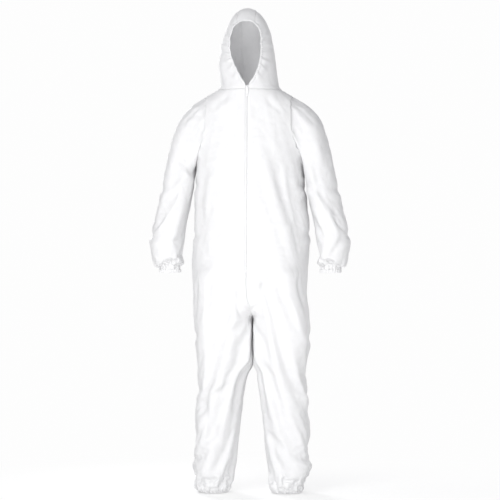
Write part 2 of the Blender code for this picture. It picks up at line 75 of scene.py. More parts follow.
ZIP_TOP = Vector((0, -0.118, 1.459))
ZIP_BOTTOM = Vector((0, -0.150, 0.787))
ZIP_LENGTH = (ZIP_BOTTOM - ZIP_TOP).length
ZIP_TILT = math.atan2(ZIP_BOTTOM.y - ZIP_TOP.y, ZIP_TOP.z - ZIP_BOTTOM.z)
PANEL_EDGE_X = 0.0065  # where the front panels stop beside the zip
NECK_Z = 1.447
WAIST_Z = 1.02
FACE_BOTTOM_Z = 1.459
FACE_TOP_Z = 1.693
FACE_MIDDLE_Z = 1.575
FACE_HALF_WIDTH = 0.0555
FACE_WIDEST = 0.66  # share of its height at which it is widest
FACE_TAPER = 0.78
FACE_ROUNDING = 2.3
STRIP_HALF_WIDTH = 0.034  # of the strip over the crown
STRIP_FRONT_Z = FACE_TOP_Z - 0.010
GUSSET_TOP_Z = 0.665
GUSSET_REACH = (0.120, 0.095)  # how far the diamond runs forward or back, and down each inner leg
GUSSET_SCALE = 0.05  # metres, about half its reach
CUFF_Z = 0.795
ELBOW_Z = 1.08
UNDERARM_TOP_Z = 1.22

# Trunk: z, half width, front, back
TRUNK = (
    (0.640, 0.150, 0.100, 0.090),
    (0.665, 0.195, 0.132, 0.122),
    (0.700, 0.213, 0.147, 0.142),
    (0.787, 0.216, 0.150, 0.148),
    (0.940, 0.214, 0.1427, 0.150),
    (1.100, 0.203, 0.1351, 0.145),
    (1.200, 0.197, 0.1303, 0.148),
    (1.300, 0.200, 0.1256, 0.150),
    (1.360, 0.205, 0.1227, 0.140),
    (1.400, 0.190, 0.1208, 0.122),
    (1.425, 0.162, 0.1196, 0.106),
    (1.440, 0.128, 0.1189, 0.092),
    (1.452, 0.104, 0.1190, 0.085),
)
# Leg: z, inner x, outer x, front, back
LEG = (
    (-0.020, 0.083, 0.184, 0.062, 0.070),
    (0.000, 0.079, 0.188, 0.066, 0.074),
    (0.012, 0.070, 0.198, 0.080, 0.088),
    (0.035, 0.067, 0.205, 0.091, 0.100),
    (0.100, 0.065, 0.209, 0.096, 0.106),
    (0.200, 0.054, 0.206, 0.098, 0.108),
    (0.300, 0.039, 0.204, 0.100, 0.110),
    (0.400, 0.018, 0.198, 0.106, 0.114),
    (0.500, 0.010, 0.203, 0.118, 0.122),
    (0.620, 0.008, 0.211, 0.136, 0.132),
    (0.700, 0.008, 0.214, 0.146, 0.142),
    (0.800, 0.008, 0.216, 0.150, 0.148),
)
# Hood: z, half width, front, back
HOOD = (
    (1.420, 0.100, 0.112, 0.080),
    (1.4485, 0.106, 0.121, 0.085),
    (1.480, 0.103, 0.118, 0.092),
    (1.530, 0.100, 0.112, 0.106),
    (1.600, 0.094, 0.108, 0.118),
    (1.660, 0.081, 0.099, 0.110),
    (1.700, 0.064, 0.083, 0.090),
    (1.728, 0.043, 0.058, 0.062),
    (1.744, 0.021, 0.030, 0.032),
    (1.750, 0.006, 0.009, 0.009),
)
# Sleeve, from shoulder to hand: outer x and z, inner x and z, half depth
SLEEVE = (
    (0.146, 1.4080, 0.146, 1.2120, 0.0820),
    (0.190, 1.4165, 0.190, 1.2040, 0.0900),
    (0.232, 1.3860, 0.198, 1.2045, 0.0900),
    (0.268, 1.3390, 0.204, 1.2040, 0.0900),
    (0.296, 1.2550, 0.220, 1.1850, 0.0880),
    (0.316, 1.1600, 0.225, 1.1200, 0.0850),
    (0.336, 1.0700, 0.231, 1.0400, 0.0820),
    (0.353, 0.9800, 0.237, 0.9550, 0.0800),
    (0.362, 0.9000, 0.242, 0.8750, 0.0760),
    (0.350, 0.8300, 0.243, 0.8250, 0.0620),
    (0.329, 0.8070, 0.254, 0.8070, 0.0420),
    (0.329, 0.7950, 0.254, 0.7950, 0.0420),
    (0.327, 0.7800, 0.256, 0.7800, 0.0400),
)
CUFF = (0.2915, 0.0375, 0.0420)  # centre x and half sizes along X and Y of the sleeve's end
ANKLE = (0.1335, 0.0545, 0.0700)  # the same for the leg's end
ANKLE_Y = 0.004  # middle of the leg's end along Y

# ---------------------------------------------------------------- arrays and noise


def smooth_step(low, high, value):
    share = np.clip((value - low) / (high - low), 0, 1)
    return share * share * (3 - 2 * share)


def bell(value, middle, width):
    """1 at the middle, falling off smoothly over about width each way."""
    return np.exp(-(((value - middle) / width) ** 2))


AXIS_SCATTER = np.array((73856093, 19349663, 83492791))  # large odd numbers, so that neighbours differ
SEED_SCATTER = 50331653


def lattice(cells, seed):
    """A repeatable random number from 0 to 1 for each whole-numbered lattice point."""
    mixed = np.bitwise_xor.reduce(cells * AXIS_SCATTER, axis=1) ^ (seed * 7919 + 17) * SEED_SCATTER
    mixed &= 0x7FFFFFFF
    mixed = ((mixed ^ (mixed >> 13)) * 60493) & 0x7FFFFFFF
    mixed = ((mixed ^ (mixed >> 11)) * 19990303) & 0x7FFFFFFF
    return ((mixed ^ (mixed >> 15)) & 0xFFFFF) / 0xFFFFF


def noise(points, size, seed):
    """Smooth noise from -1 to 1 with features about size across. size may differ along X, Y and Z."""
    at = points / np.array(size)
    base = np.floor(at).astype(np.int64)
    part = at - base
    part = part * part * (3 - 2 * part)
    total = np.zeros(len(points))
    for corner in itertools.product((0, 1), repeat=3):
        weight = np.prod(np.where(np.array(corner, bool), part, 1 - part), axis=1)
        total += weight * lattice(base + np.array(corner), seed)
    return 2 * total - 1


def facets(points, size, seed):
    """A crumpled sheet: 0 along its creases, rising to about 1 in the middle of each flat facet."""
    at = points / np.array(size)
    base = np.floor(at).astype(np.int64)
    nearest = np.full(len(points), np.inf)
    second = nearest.copy()
    for offset in itertools.product((-1, 0, 1), repeat=3):
        cell = base + np.array(offset)
        centre = cell + np.stack([lattice(cell, seed + k) for k in range(3)], axis=1)
        distance = np.linalg.norm(at - centre, axis=1)
        second = np.minimum(second, np.maximum(nearest, distance))
        nearest = np.minimum(nearest, distance)
    return np.clip((second - nearest) * 1.6, 0, 1)


def read_values(items, name, width=1, kind=np.int64):
    """One property of all the items as an array, with a row for each item where width is above 1."""
    flat = np.empty(len(items) * width, kind)
    items.foreach_get(name, flat)
    return flat.reshape(-1, width) if width > 1 else flat


def read_points(mesh):
    return read_values(mesh.vertices, "co", 3, float)


def edge_ends(mesh):
    return read_values(mesh.edges, "vertices", 2)


def write_points(mesh, points):
    mesh.vertices.foreach_set("co", np.asarray(points, float).ravel())
    mesh.update()


def relax(mesh, rounds, strength=0.5):
    """Moves each point part of the way to the middle of its neighbours."""
    points = read_points(mesh)
    ends = edge_ends(mesh)
    count = np.bincount(ends.ravel(), minlength=len(points))[:, None]
    for _ in range(rounds):
        total = np.zeros_like(points)
        np.add.at(total, ends[:, 0], points[ends[:, 1]])
        np.add.at(total, ends[:, 1], points[ends[:, 0]])
        points = points + strength * (total / count - points)
    write_points(mesh, points)


def add_piece(name, data):
    piece = bpy.data.objects.new(name, data)
    bpy.context.scene.collection.objects.link(piece)
    return piece


def mesh_from(bm, name):
    """A new mesh from an edit mesh, which is used up."""
    mesh = bpy.data.meshes.new(name)
    bm.to_mesh(mesh)
    bm.free()
    return mesh


def outward_faces(bm):
    bmesh.ops.recalc_face_normals(bm, faces=bm.faces)
    return bm


# ---------------------------------------------------------------- the closed form of the garment


def through(rows, at):
    """The values of a smooth curve through a table's rows, whose first column is the key."""
    keys = [row[0] for row in rows]
    at = min(max(at, keys[0]), keys[-1])
    high = max(1, next(k for k, key in enumerate(keys) if at <= key + 1e-12))
    low = high - 1
    before = max(low - 1, 0)
    after = min(high + 1, len(rows) - 1)
    rise = keys[high] - keys[low]
    t = (at - keys[low]) / rise
    values = []
    for column in range(1, len(rows[0])):
        a, b = rows[low][column], rows[high][column]
        slope_a = (b - rows[before][column]) / (keys[high] - keys[before]) * rise
        slope_b = (rows[after][column] - a) / (keys[after] - keys[low]) * rise
        in_part = t**3 - 2 * t**2 + t
        out_part = t**3 - t**2
        b_part = 3 * t**2 - 2 * t**3
        values.append((1 - b_part) * a + in_part * slope_a + b_part * b + out_part * slope_b)
    return values


def power(value, exponent):
    return math.copysign(abs(value) ** exponent, value)


def ring(z, middle, half_width, front, back, count=64):
    """A level superellipse, with different depths in front and at the back."""
    points = []
    for k in range(count):
        angle = 2 * math.pi * k / count
        x = power(math.sin(angle), 2 / SQUARENESS)
        y = power(-math.cos(angle), 2 / SQUARENESS)
        points.append((middle + half_width * x, y * (front if y < 0 else back), z + GROUND))
    return points


def add_loft(bm, rings):
    rows = [[bm.verts.new(p) for p in points] for points in rings]
    count = len(rows[0])
    for low, high in itertools.pairwise(rows):
        for k in range(count):
            bm.faces.new((low[k], low[(k + 1) % count], high[(k + 1) % count], high[k]))
    bm.faces.new(rows[0][::-1])
    bm.faces.new(rows[-1])


SMALLEST_HALF_SIZE = 0.004  # of a shrunken ring


def add_upright(bm, table, grow, step, side=0):
    """A closed loft of level rings. side is 0 but for a leg, whose table gives inner and outer x."""
    rings = []
    levels = int((table[-1][0] - table[0][0]) / step) + 1
    for z in np.linspace(table[0][0], table[-1][0], levels):
        values = through(table, z)
        middle, half_width = 0.0, values[0]
        if side:
            middle, half_width = side * (values[0] + values[1]) / 2, (values[1] - values[0]) / 2
        sizes = [max(size + grow, SMALLEST_HALF_SIZE) for size in (half_width, *values[-2:])]
        rings.append(ring(z, middle, *sizes))
    add_loft(bm, rings)


def add_sleeve(bm, side, grow, per_row=4, count=48):
    """A closed loft of slanting rings, each from the sleeve's outer line to its inner line."""
    rows = [(k, *row) for k, row in enumerate(SLEEVE)]
    rings = []
    for at in np.linspace(0, len(SLEEVE) - 1, (len(SLEEVE) - 1) * per_row + 1):
        outer_x, outer_z, inner_x, inner_z, depth = through(rows, float(at))
        outer, inner = Vector((outer_x, 0, outer_z)), Vector((inner_x, 0, inner_z))
        middle, half = (outer + inner) / 2, (outer - inner) / 2
        half *= max((half.length + grow) / half.length, 0.1)
        points = []
        for k in range(count):
            angle = 2 * math.pi * k / count
            p = middle + half * power(math.cos(angle), 2 / SQUARENESS)
            y = (depth + grow) * power(math.sin(angle), 2 / SQUARENESS)
            points.append((side * p.x, y, p.z + GROUND))
        rings.append(points)
    add_loft(bm, rings)


def voxel_form(name, voxel, trunk=0.0, legs=0.0, sleeves=0.0, hood=0.0, rounds=10):
    """Trunk, legs, sleeves and hood as one closed mesh of even small squares, each grown by an amount."""
    bm = bmesh.new()
    add_upright(bm, TRUNK, trunk, 0.02)
    add_upright(bm, HOOD, hood, 0.01)
    for _, side in SIDES:
        add_upright(bm, LEG, legs, 0.015, side)
        add_sleeve(bm, side, sleeves)
    piece = add_piece(name, mesh_from(outward_faces(bm), name))
    remesh = piece.modifiers.new("voxels", "REMESH")
    remesh.mode = "VOXEL"
    remesh.voxel_size = voxel
    apply_modifiers(piece)
    relax(piece.data, rounds)
    return piece


def apply_modifiers(piece):
    """Replaces the piece's mesh with what its modifiers make of it."""
    bpy.context.view_layer.update()
    graph = bpy.context.evaluated_depsgraph_get()
    mesh = bpy.data.meshes.new_from_object(piece.evaluated_get(graph))
    piece.modifiers.clear()
    old = piece.data
    piece.data = mesh
    bpy.data.meshes.remove(old)


def heights(points):
    return points[:, 2] - GROUND


# The armhole seam seen from the front, from the hip gap up over the underarm point to the shoulder: z and x
ARMHOLE = (
    (0.70, 0.2400),
    (1.16, 0.2115),
    (1.20, 0.2060),
    (1.23, 0.1900),
    (1.27, 0.1720),
    (1.33, 0.1630),
    (1.43, 0.1580),
)


def arm_field(points):
    """Below 0 on the sleeves and above 0 on the trunk, in metres from the armhole seam."""
    seam_z, seam_x = zip(*ARMHOLE)
    return np.interp(heights(points), seam_z, seam_x) - np.abs(points[:, 0])


def face_half_width(z):
    """Half the face opening's width: round over the forehead, tapering to a narrow chin."""
    share = np.clip((z - FACE_BOTTOM_Z) / (FACE_TOP_Z - FACE_BOTTOM_Z), 0, 1)
    taper = np.sin(math.pi / 2 * np.minimum(share / FACE_WIDEST, 1) ** FACE_TAPER)
    above = np.maximum(share - FACE_WIDEST, 0) / (1 - FACE_WIDEST)
    dome = (1 - above**FACE_ROUNDING) ** (1 / FACE_ROUNDING)
    beyond = np.maximum(FACE_BOTTOM_Z - z, 0) + np.maximum(z - FACE_TOP_Z, 0)
    return FACE_HALF_WIDTH * taper * dome - beyond


# ---------------------------------------------------------------- draping


# Where the closed form is cut off: height of the cut, top of the band that it touches, and least |x|
END_CUTS = ((0.001, 0.05, 0.0), (CUFF_Z + 0.001, 0.85, 0.232))


def trim_ends(piece):
    """Cuts the closed form off at the ankle hems and the cuffs."""
    bm = bmesh.new()
    bm.from_mesh(piece.data)

    def faces_below(height, reach):
        middles = ((face, face.calc_center_median()) for face in bm.faces)
        return [face for face, middle in middles if middle.z < height + GROUND and abs(middle.x) > reach]

    for height, top, reach in END_CUTS:
        near = faces_below(top, reach)
        around = {v for face in near for v in face.verts} | {e for face in near for e in face.edges}
        level = (0, 0, height + GROUND)
        bmesh.ops.bisect_plane(bm, geom=list(around) + near, plane_co=level, plane_no=(0, 0, 1))
        bmesh.ops.delete(bm, geom=faces_below(height, reach), context="FACES")
    bm.to_mesh(piece.data)
    bm.free()


def set_group(piece, name, weights, levels=16):
    """A group of the piece's points, with the weights rounded to a few levels."""
    group = piece.vertex_groups.new(name=name)
    stepped = np.round(weights * levels) / levels
    for value in np.unique(stepped):
        if value > 0:
            group.add([int(k) for k in np.flatnonzero(stepped == value)], float(value), "REPLACE")


HELD_HALF_WIDTH = 0.012  # of the cloth held along the zip
RIM_HEIGHT = 0.006


def held_places(points):
    """1 where the cloth is held: the zip, the crotch, the rims of the hems, and the hood."""
    x, z = np.abs(points[:, 0]), heights(points)
    chain = (x < HELD_HALF_WIDTH) & (points[:, 1] < 0) & (z > ZIP_BOTTOM.z - 0.007) & (z < ZIP_TOP.z + 0.01)
    crotch = (x < HELD_HALF_WIDTH + 0.002) & (np.abs(points[:, 1]) < 0.09) & (z < 0.71)
    rims = (z < RIM_HEIGHT) | ((arm_field(points) < 0) & (z < CUFF_Z + RIM_HEIGHT))
    hood = z > NECK_Z + 0.008
    return (chain | crotch | rims | hood).astype(float)


def slack_places(points):
    """How much longer the cloth is than the form, from 0 to 1: most at shins, wrists, elbows and crotch."""
    x, z = np.abs(points[:, 0]), heights(points)
    shins = 1 - smooth_step(0.15, 0.62, z)
    crotch = 0.75 * bell(z, 0.66, 0.07) * (x < 0.1)
    wrists = 1 - smooth_step(0.84, 1.02, z)
    elbows = 0.5 * bell(z, ELBOW_Z, 0.09)
    return np.where(arm_field(points) < 0, np.maximum(elbows, wrists), np.maximum(shins, crotch))


CLOTH_CLEARANCE = 0.003  # that the cloth keeps from the figure, and the figure from the cloth
DRAPE_FRAMES = 24
DRAPE = {
    "quality": 5,
    "mass": 0.12,
    "air_damping": 1.5,
    "tension_stiffness": 15,
    "compression_stiffness": 15,
    "shear_stiffness": 5,
    "bending_stiffness": 0.5,
    "bending_damping": 0.5,
    "shrink_min": -0.008,
    "shrink_max": -0.09,
}


def drape(garment, figure):
    """Where the cloth's points lie after it has settled on the figure."""
    rest = read_points(garment.data)
    set_group(garment, "held", held_places(rest))
    set_group(garment, "slack", slack_places(rest))
    figure.modifiers.new("collision", "COLLISION")
    figure.collision.thickness_outer = CLOTH_CLEARANCE
    figure.collision.cloth_friction = 5
    cloth = garment.modifiers.new("cloth", "CLOTH")
    for name, value in DRAPE.items():
        setattr(cloth.settings, name, value)
    cloth.settings.vertex_group_mass = "held"
    cloth.settings.vertex_group_shrink = "slack"
    cloth.settings.effector_weights.gravity = 0.2
    cloth.collision_settings.distance_min = CLOTH_CLEARANCE
    cloth.collision_settings.collision_quality = 2
    cloth.point_cache.frame_start = 1
    cloth.point_cache.frame_end = DRAPE_FRAMES
    for number in range(1, DRAPE_FRAMES + 1):
        bpy.context.scene.frame_set(number)
    graph = bpy.context.evaluated_depsgraph_get()
    draped = read_points(garment.evaluated_get(graph).data)
    garment.modifiers.clear()
    bpy.context.scene.frame_set(1)
    return draped


# ---------------------------------------------------------------- cutting along the pattern

REGIONS = (
    "front_left", "front_right", "back_left", "back_right", "gusset",
    "sleeve_left", "sleeve_right", "hood_left", "hood_right", "crown",
)


SKEW = (0.31, 0.17)  # mixes X into the flat coordinates of a cut, so that no face becomes a line


class Cutter:
    """The garment's mesh with its rest and draped places, cut where a field of the rest place is zero."""

    def __init__(self, mesh, draped):
        self.bm = bmesh.new()
        self.bm.from_mesh(mesh)
        layers = self.bm.verts.layers
        self.rest = layers.float_vector.new("rest")
        self.draped = layers.float_vector.new("draped")
        self.seam = layers.float.new("seam")
        for vert, place in zip(self.bm.verts, draped):
            vert[self.rest] = vert.co
            vert[self.draped] = place

    def rests(self, items):
        return np.array([item[self.rest] for item in items]).reshape(-1, 3)

    def middles(self):
        """Each face's middle at rest."""
        places = {vert: np.array(vert[self.rest]) for vert in self.bm.verts}
        return np.array([sum(places[v] for v in face.verts) / len(face.verts) for face in self.bm.faces])

    def cut(self, field, inside, seam=True, snap=0.0012):
        """Cuts the faces whose middles are inside along field = 0. Points nearer than snap count as on it."""
        middles = self.middles()
        chosen = [face for face, yes in zip(list(self.bm.faces), inside(middles)) if yes]
        verts = list({v for face in chosen for v in face.verts})
        edges = list({e for face in chosen for e in face.edges})
        values = field(self.rests(verts))
        for vert, value in zip(verts, values):
            x, y, z = vert[self.rest]
            vert.co = (value, y + SKEW[0] * x, z + SKEW[1] * x)
        done = bmesh.ops.bisect_plane(
            self.bm, geom=verts + edges + chosen, dist=snap, plane_co=(0, 0, 0), plane_no=(1, 0, 0)
        )
        if seam:
            for item in done["geom_cut"]:
                if isinstance(item, bmesh.types.BMVert):
                    item[self.seam] = 1.0
        for vert in self.bm.verts:
            vert.co = vert[self.rest]

    def remove(self, inside):
        gone = [face for face, yes in zip(list(self.bm.faces), inside(self.middles())) if yes]
        bmesh.ops.delete(self.bm, geom=gone, context="FACES")


def on_hood(p):
    return heights(p) > NECK_Z


def on_arm(p):
    return arm_field(p) < 0


def on_trunk(p):
    return ~on_arm(p) & ~on_hood(p)


def armhole_zone(p):
    return (np.abs(p[:, 0]) > 0.08) & (heights(p) > CUFF_Z - 0.015) & (heights(p) < NECK_Z - 0.007)


def strip_zone(p):
    """The part of the hood that the crown strip could lie on."""
    return on_hood(p) & ~((p[:, 1] < -0.02) & (heights(p) < STRIP_FRONT_Z))


def on_strip(p):
    return strip_zone(p) & (np.abs(p[:, 0]) < STRIP_HALF_WIDTH)


def strip_end_zone(p):
    return face_zone(p) & (np.abs(p[:, 0]) < STRIP_HALF_WIDTH + 0.01) & (heights(p) > 1.60)


def zip_zone(p, margin=0.0):
    z = heights(p)
    ends = (z > ZIP_BOTTOM.z - margin) & (z < ZIP_TOP.z + 0.006)
    return ends & (p[:, 1] < -0.05) & (np.abs(p[:, 0]) < 0.03)


def zip_gap(p):
    return zip_zone(p) & (np.abs(p[:, 0]) < PANEL_EDGE_X)


def face_zone(p):
    return on_hood(p) & (p[:, 1] < -0.01)


def face_field(p):
    """Below 0 inside the face opening's outline."""
    return np.abs(p[:, 0]) - face_half_width(heights(p))


def sleeve_seam_zone(p):
    """The sleeves' inner side, where the underarm seam runs."""
    z = heights(p)
    middle_x = np.interp(z, (0.80, 0.90, 1.04, 1.12, 1.20), (0.290, 0.300, 0.280, 0.267, 0.245))
    return on_arm(p) & (np.abs(p[:, 0]) < middle_x) & (z < UNDERARM_TOP_Z)


def gusset_field(p):
    """Below 0 on the diamond, and roughly metres from its edge."""
    down = np.maximum(GUSSET_TOP_Z - heights(p), 0)
    return (np.abs(p[:, 1]) / GUSSET_REACH[0] + down / GUSSET_REACH[1] - 1) * GUSSET_SCALE


def gusset_zone(p):
    return (heights(p) < 0.76) & (np.abs(p[:, 0]) < 0.07)


def body_panels(p):
    return on_trunk(p) & (gusset_field(p) > 0)


def cut_pattern(mesh, draped):
    """The mesh cut along every seam and opening, with its faces' regions as the layer "region"."""
    cutter = Cutter(mesh, draped)
    cutter.cut(arm_field, armhole_zone)
    cutter.cut(lambda p: heights(p) - NECK_Z, lambda p: heights(p) > NECK_Z - 0.05)
    cutter.cut(gusset_field, gusset_zone)
    cutter.cut(lambda p: p[:, 1], lambda p: body_panels(p) | sleeve_seam_zone(p))
    cutter.cut(lambda p: p[:, 0], lambda p: body_panels(p) & (np.abs(p[:, 0]) < 0.03))
    cutter.cut(lambda p: np.abs(p[:, 0]) - STRIP_HALF_WIDTH, strip_zone)
    cutter.cut(lambda p: heights(p) - STRIP_FRONT_Z, strip_end_zone)
    cutter.cut(face_field, face_zone, seam=False)
    cutter.remove(lambda p: face_zone(p) & (face_field(p) < 0))
    cutter.cut(lambda p: np.abs(p[:, 0]) - PANEL_EDGE_X, lambda p: zip_zone(p, 0.01), seam=False)
    cutter.cut(lambda p: heights(p) - ZIP_BOTTOM.z, lambda p: zip_zone(p, 0.02), seam=False)
    cutter.remove(zip_gap)
    region = cutter.bm.faces.layers.int.new("region")
    for face, number in zip(cutter.bm.faces, region_numbers(cutter.middles())):
        face[region] = int(number)
    refine_openings(cutter)
    for vert in cutter.bm.verts:
        vert.co = vert[cutter.draped]
    return cutter


def region_numbers(p):
    """Each face's place in REGIONS."""
    place = {name: number for number, name in enumerate(REGIONS)}

    def of_side(name):
        return np.where(p[:, 0] > 0, place[f"{name}_left"], place[f"{name}_right"])

    numbers = np.where(p[:, 1] < 0, of_side("front"), of_side("back"))
    numbers[(gusset_field(p) < 0) & gusset_zone(p)] = place["gusset"]
    numbers = np.where(on_arm(p), of_side("sleeve"), numbers)
    numbers = np.where(on_hood(p), of_side("hood"), numbers)
    return np.where(on_strip(p), place["crown"], numbers)


def refine_openings(cutter):
    """Halves the squares near the face opening, the cuffs and the ankles, where the gathers are fine."""
    p = cutter.middles()
    face = face_zone(p) & (face_field(p) < 0.045)
    cuff = on_arm(p) & (heights(p) < CUFF_Z + 0.07)
    ankle = heights(p) < 0.075
    chosen = [f for f, yes in zip(list(cutter.bm.faces), face | cuff | ankle) if yes]
    edges = list({e for f in chosen for e in f.edges})
    bmesh.ops.subdivide_edges(cutter.bm, edges=edges, cuts=1, use_grid_fill=True)


# ---------------------------------------------------------------- creases, gathers and seams


# Fine and broad pleats above the elastics: count, depth and reach, and for the broad ones also the height
# of their middle before the reach
CUFF_GATHERS = ((22, 0.0026, 0.022), (11, 0.0034, 0.020, 0.035))
ANKLE_GATHERS = ((30, 0.0028, 0.024), (14, 0.0042, 0.025, 0.040))
FACE_GATHERS = ((34, 0.0016, 0.014), (17, 0.0022, 0.012, 0.022))
WAIST_PLEAT = 0.021  # spacing of the pleats at the waist


def round_opening(points, x, y):
    """The angle of each point round an upright axis at (x, y)."""
    return np.arctan2(points[:, 1] - y, points[:, 0] - x)


def gathers(angle, count, seed, points):
    """Uneven folds round an opening, from -1 to 1: pleats that wander and differ in depth."""
    wander = 0.9 * noise(points, 0.045, seed)
    depth = 0.75 + 0.35 * noise(points, 0.03, seed + 1)
    return np.cos(angle * count + wander * 2.2) * depth


def opening_gathers(rest, angle, away, fine, broad, seeds):
    """Fine pleats that fade with the distance away from an elastic, and broad ones a little way from it."""
    count, depth, reach = fine
    out = gathers(angle, count, seeds[0], rest) * depth * np.exp(-away / reach)
    count, depth, middle, reach = broad
    return out + gathers(angle, count, seeds[1], rest) * depth * bell(away, middle, reach)


def hem_gathers(rest):
    """How far the gathers above each cuff and ankle elastic stand out."""
    z = heights(rest)
    out = np.zeros(len(rest))
    for number, (_, side) in enumerate(SIDES):
        mine = rest[:, 0] * side > 0
        angle = round_opening(rest, side * CUFF[0], 0.0)
        at_cuff = opening_gathers(rest, angle, z - CUFF_Z, *CUFF_GATHERS, (11 + number, 21 + number))
        angle = round_opening(rest, side * ANKLE[0], ANKLE_Y)
        at_ankle = opening_gathers(rest, angle, z, *ANKLE_GATHERS, (31 + number, 41 + number))
        out = np.where(mine & on_arm(rest), at_cuff, out)
        out = np.where(mine & ~on_arm(rest) & (z < 0.3), at_ankle, out)
    return out


def face_gathers(rest):
    """How far the gathers beside the face opening stand out, less under the chin and over the forehead."""
    x, z = rest[:, 0], heights(rest)
    front = (rest[:, 1] < 0.02) & (z > NECK_Z - 0.01)
    away = np.maximum(np.abs(x) - face_half_width(z), 0)
    angle = np.arctan2(z - FACE_MIDDLE_Z, np.abs(x))
    sides = smooth_step(1.47, 1.50, z) * (1 - 0.55 * smooth_step(1.64, 1.69, z))
    return np.where(front, opening_gathers(rest, angle, away, *FACE_GATHERS, (51, 52)) * sides, 0)


def waist_gathers(rest):
    """Upright pleats over the elastic sewn inside the back of the waist."""
    x, z = rest[:, 0], heights(rest)
    reach = (rest[:, 1] > 0.03) & ~on_arm(rest)
    across = smooth_step(0.195, 0.165, np.abs(x)) * reach
    pleats = np.cos(x * 2 * math.pi / WAIST_PLEAT + 2.4 * noise(rest, (0.05, 0.05, 0.12), 61))
    depth = 0.0030 * np.exp(-np.abs(z - WAIST_Z) / 0.035) + 0.0012 * bell(z, WAIST_Z, 0.10)
    return across * (pleats * depth - 0.007 * bell(z, WAIST_Z, 0.035))


CRUMPLE_BROAD = 0.0030  # depths of the facets at two scales, and of the soft waves under them
CRUMPLE_FINE = 0.0013
CRUMPLE_SOFT = 0.0016


def crumple(rest):
    """Crisp creases of a papery cloth: facets at two scales, raised in some places and sunk in others."""
    warp = np.stack([noise(rest, 0.07, 71 + k) for k in range(3)], axis=1) * 0.012
    place = rest + warp
    side = np.tanh(3 * noise(rest, 0.11, 75))
    broad = (facets(place, (0.085, 0.085, 0.070), 81) - 0.4) * CRUMPLE_BROAD * side
    fine = (facets(place, 0.034, 91) - 0.4) * CRUMPLE_FINE * np.tanh(3 * noise(rest, 0.06, 76))
    soft = noise(rest, (0.09, 0.09, 0.14), 77) * CRUMPLE_SOFT
    return broad + fine + soft


PACKING_LEVELS = (0.335, 0.70, 1.02, 1.27)
PACKING_SIDE_X = 0.098
CREASE_HALF_WIDTH = 0.006


def packing_creases(rest):
    """Sharp lines left where the new garment was folded flat into its bag."""
    z = heights(rest)
    out = np.zeros(len(rest))
    for number, level in enumerate(PACKING_LEVELS):
        wobble = 0.004 * noise(rest, 0.15, 101 + number)
        distance = np.abs(z - level + wobble)
        out += (1 if number % 2 else -1) * 0.0011 * np.exp(-distance / CREASE_HALF_WIDTH)
    distance = np.abs(np.abs(rest[:, 0]) - PACKING_SIDE_X + 0.003 * noise(rest, 0.2, 111))
    return out + np.where(on_trunk(rest), 0.0008 * np.exp(-distance / CREASE_HALF_WIDTH), 0)


# Broad folds: both ends, their width and their depth. The ends are x and z, or y and z on the outer sides
FRONT_FOLDS = (
    (0.098, 1.205, 0.190, 0.860, 0.022, 0.0085),
    (0.150, 1.150, 0.196, 0.930, 0.014, 0.0040),
    (-0.150, 1.215, -0.186, 0.930, 0.016, 0.0050),
    (-0.262, 1.212, -0.208, 1.147, 0.012, 0.0080),
    (-0.245, 1.130, -0.300, 1.075, 0.012, 0.0050),
    (0.225, 1.130, 0.290, 1.085, 0.013, 0.0060),
    (0.225, 1.020, 0.275, 0.915, 0.012, 0.0065),
    (0.290, 1.270, 0.330, 0.960, 0.014, 0.0060),
    (0.345, 0.925, 0.300, 0.865, 0.012, 0.0050),
    (-0.250, 0.930, -0.330, 0.905, 0.012, 0.0050),
    (0.118, 1.365, 0.070, 1.420, 0.012, 0.0035),
    (-0.125, 1.375, -0.065, 1.425, 0.012, 0.0035),
    (-0.090, 0.800, -0.012, 0.700, 0.016, 0.0055),
    (0.105, 0.790, 0.020, 0.690, 0.016, 0.0060),
    (0.040, 0.480, 0.120, 0.300, 0.018, 0.0065),
    (0.070, 0.215, 0.180, 0.120, 0.015, 0.0060),
    (-0.185, 0.345, -0.120, 0.180, 0.018, 0.0070),
    (-0.060, 0.400, -0.150, 0.350, 0.014, 0.0050),
    (-0.030, 0.620, -0.110, 0.560, 0.016, 0.0045),
    (-0.096, 1.585, -0.056, 1.482, 0.012, 0.0050),
    (0.086, 1.545, 0.058, 1.475, 0.012, 0.0035),
)
BACK_FOLDS = (
    (-0.110, 1.330, -0.175, 1.080, 0.020, 0.0070),
    (0.125, 1.320, 0.170, 1.120, 0.020, 0.0060),
    (0.030, 1.400, 0.105, 1.340, 0.014, 0.0040),
    (-0.150, 0.930, -0.030, 0.780, 0.020, 0.0060),
    (0.160, 0.900, 0.025, 0.760, 0.020, 0.0065),
    (0.020, 0.700, 0.130, 0.600, 0.016, 0.0060),
    (-0.020, 0.700, -0.140, 0.620, 0.016, 0.0055),
    (0.050, 0.480, 0.170, 0.420, 0.016, 0.0065),
    (-0.060, 0.450, -0.180, 0.400, 0.016, 0.0060),
    (0.230, 1.090, 0.310, 1.060, 0.013, 0.0060),
    (-0.230, 1.080, -0.320, 1.040, 0.013, 0.0060),
)
OUTER_FOLDS = (
    (-0.080, 0.590, 0.090, 0.555, 0.018, 0.0060),
    (-0.070, 0.390, 0.080, 0.345, 0.018, 0.0060),
    (-0.080, 0.130, 0.070, 0.110, 0.014, 0.0050),
    (-0.060, 1.110, 0.070, 1.080, 0.016, 0.0050),
    (-0.070, 0.920, 0.060, 0.945, 0.014, 0.0045),
)


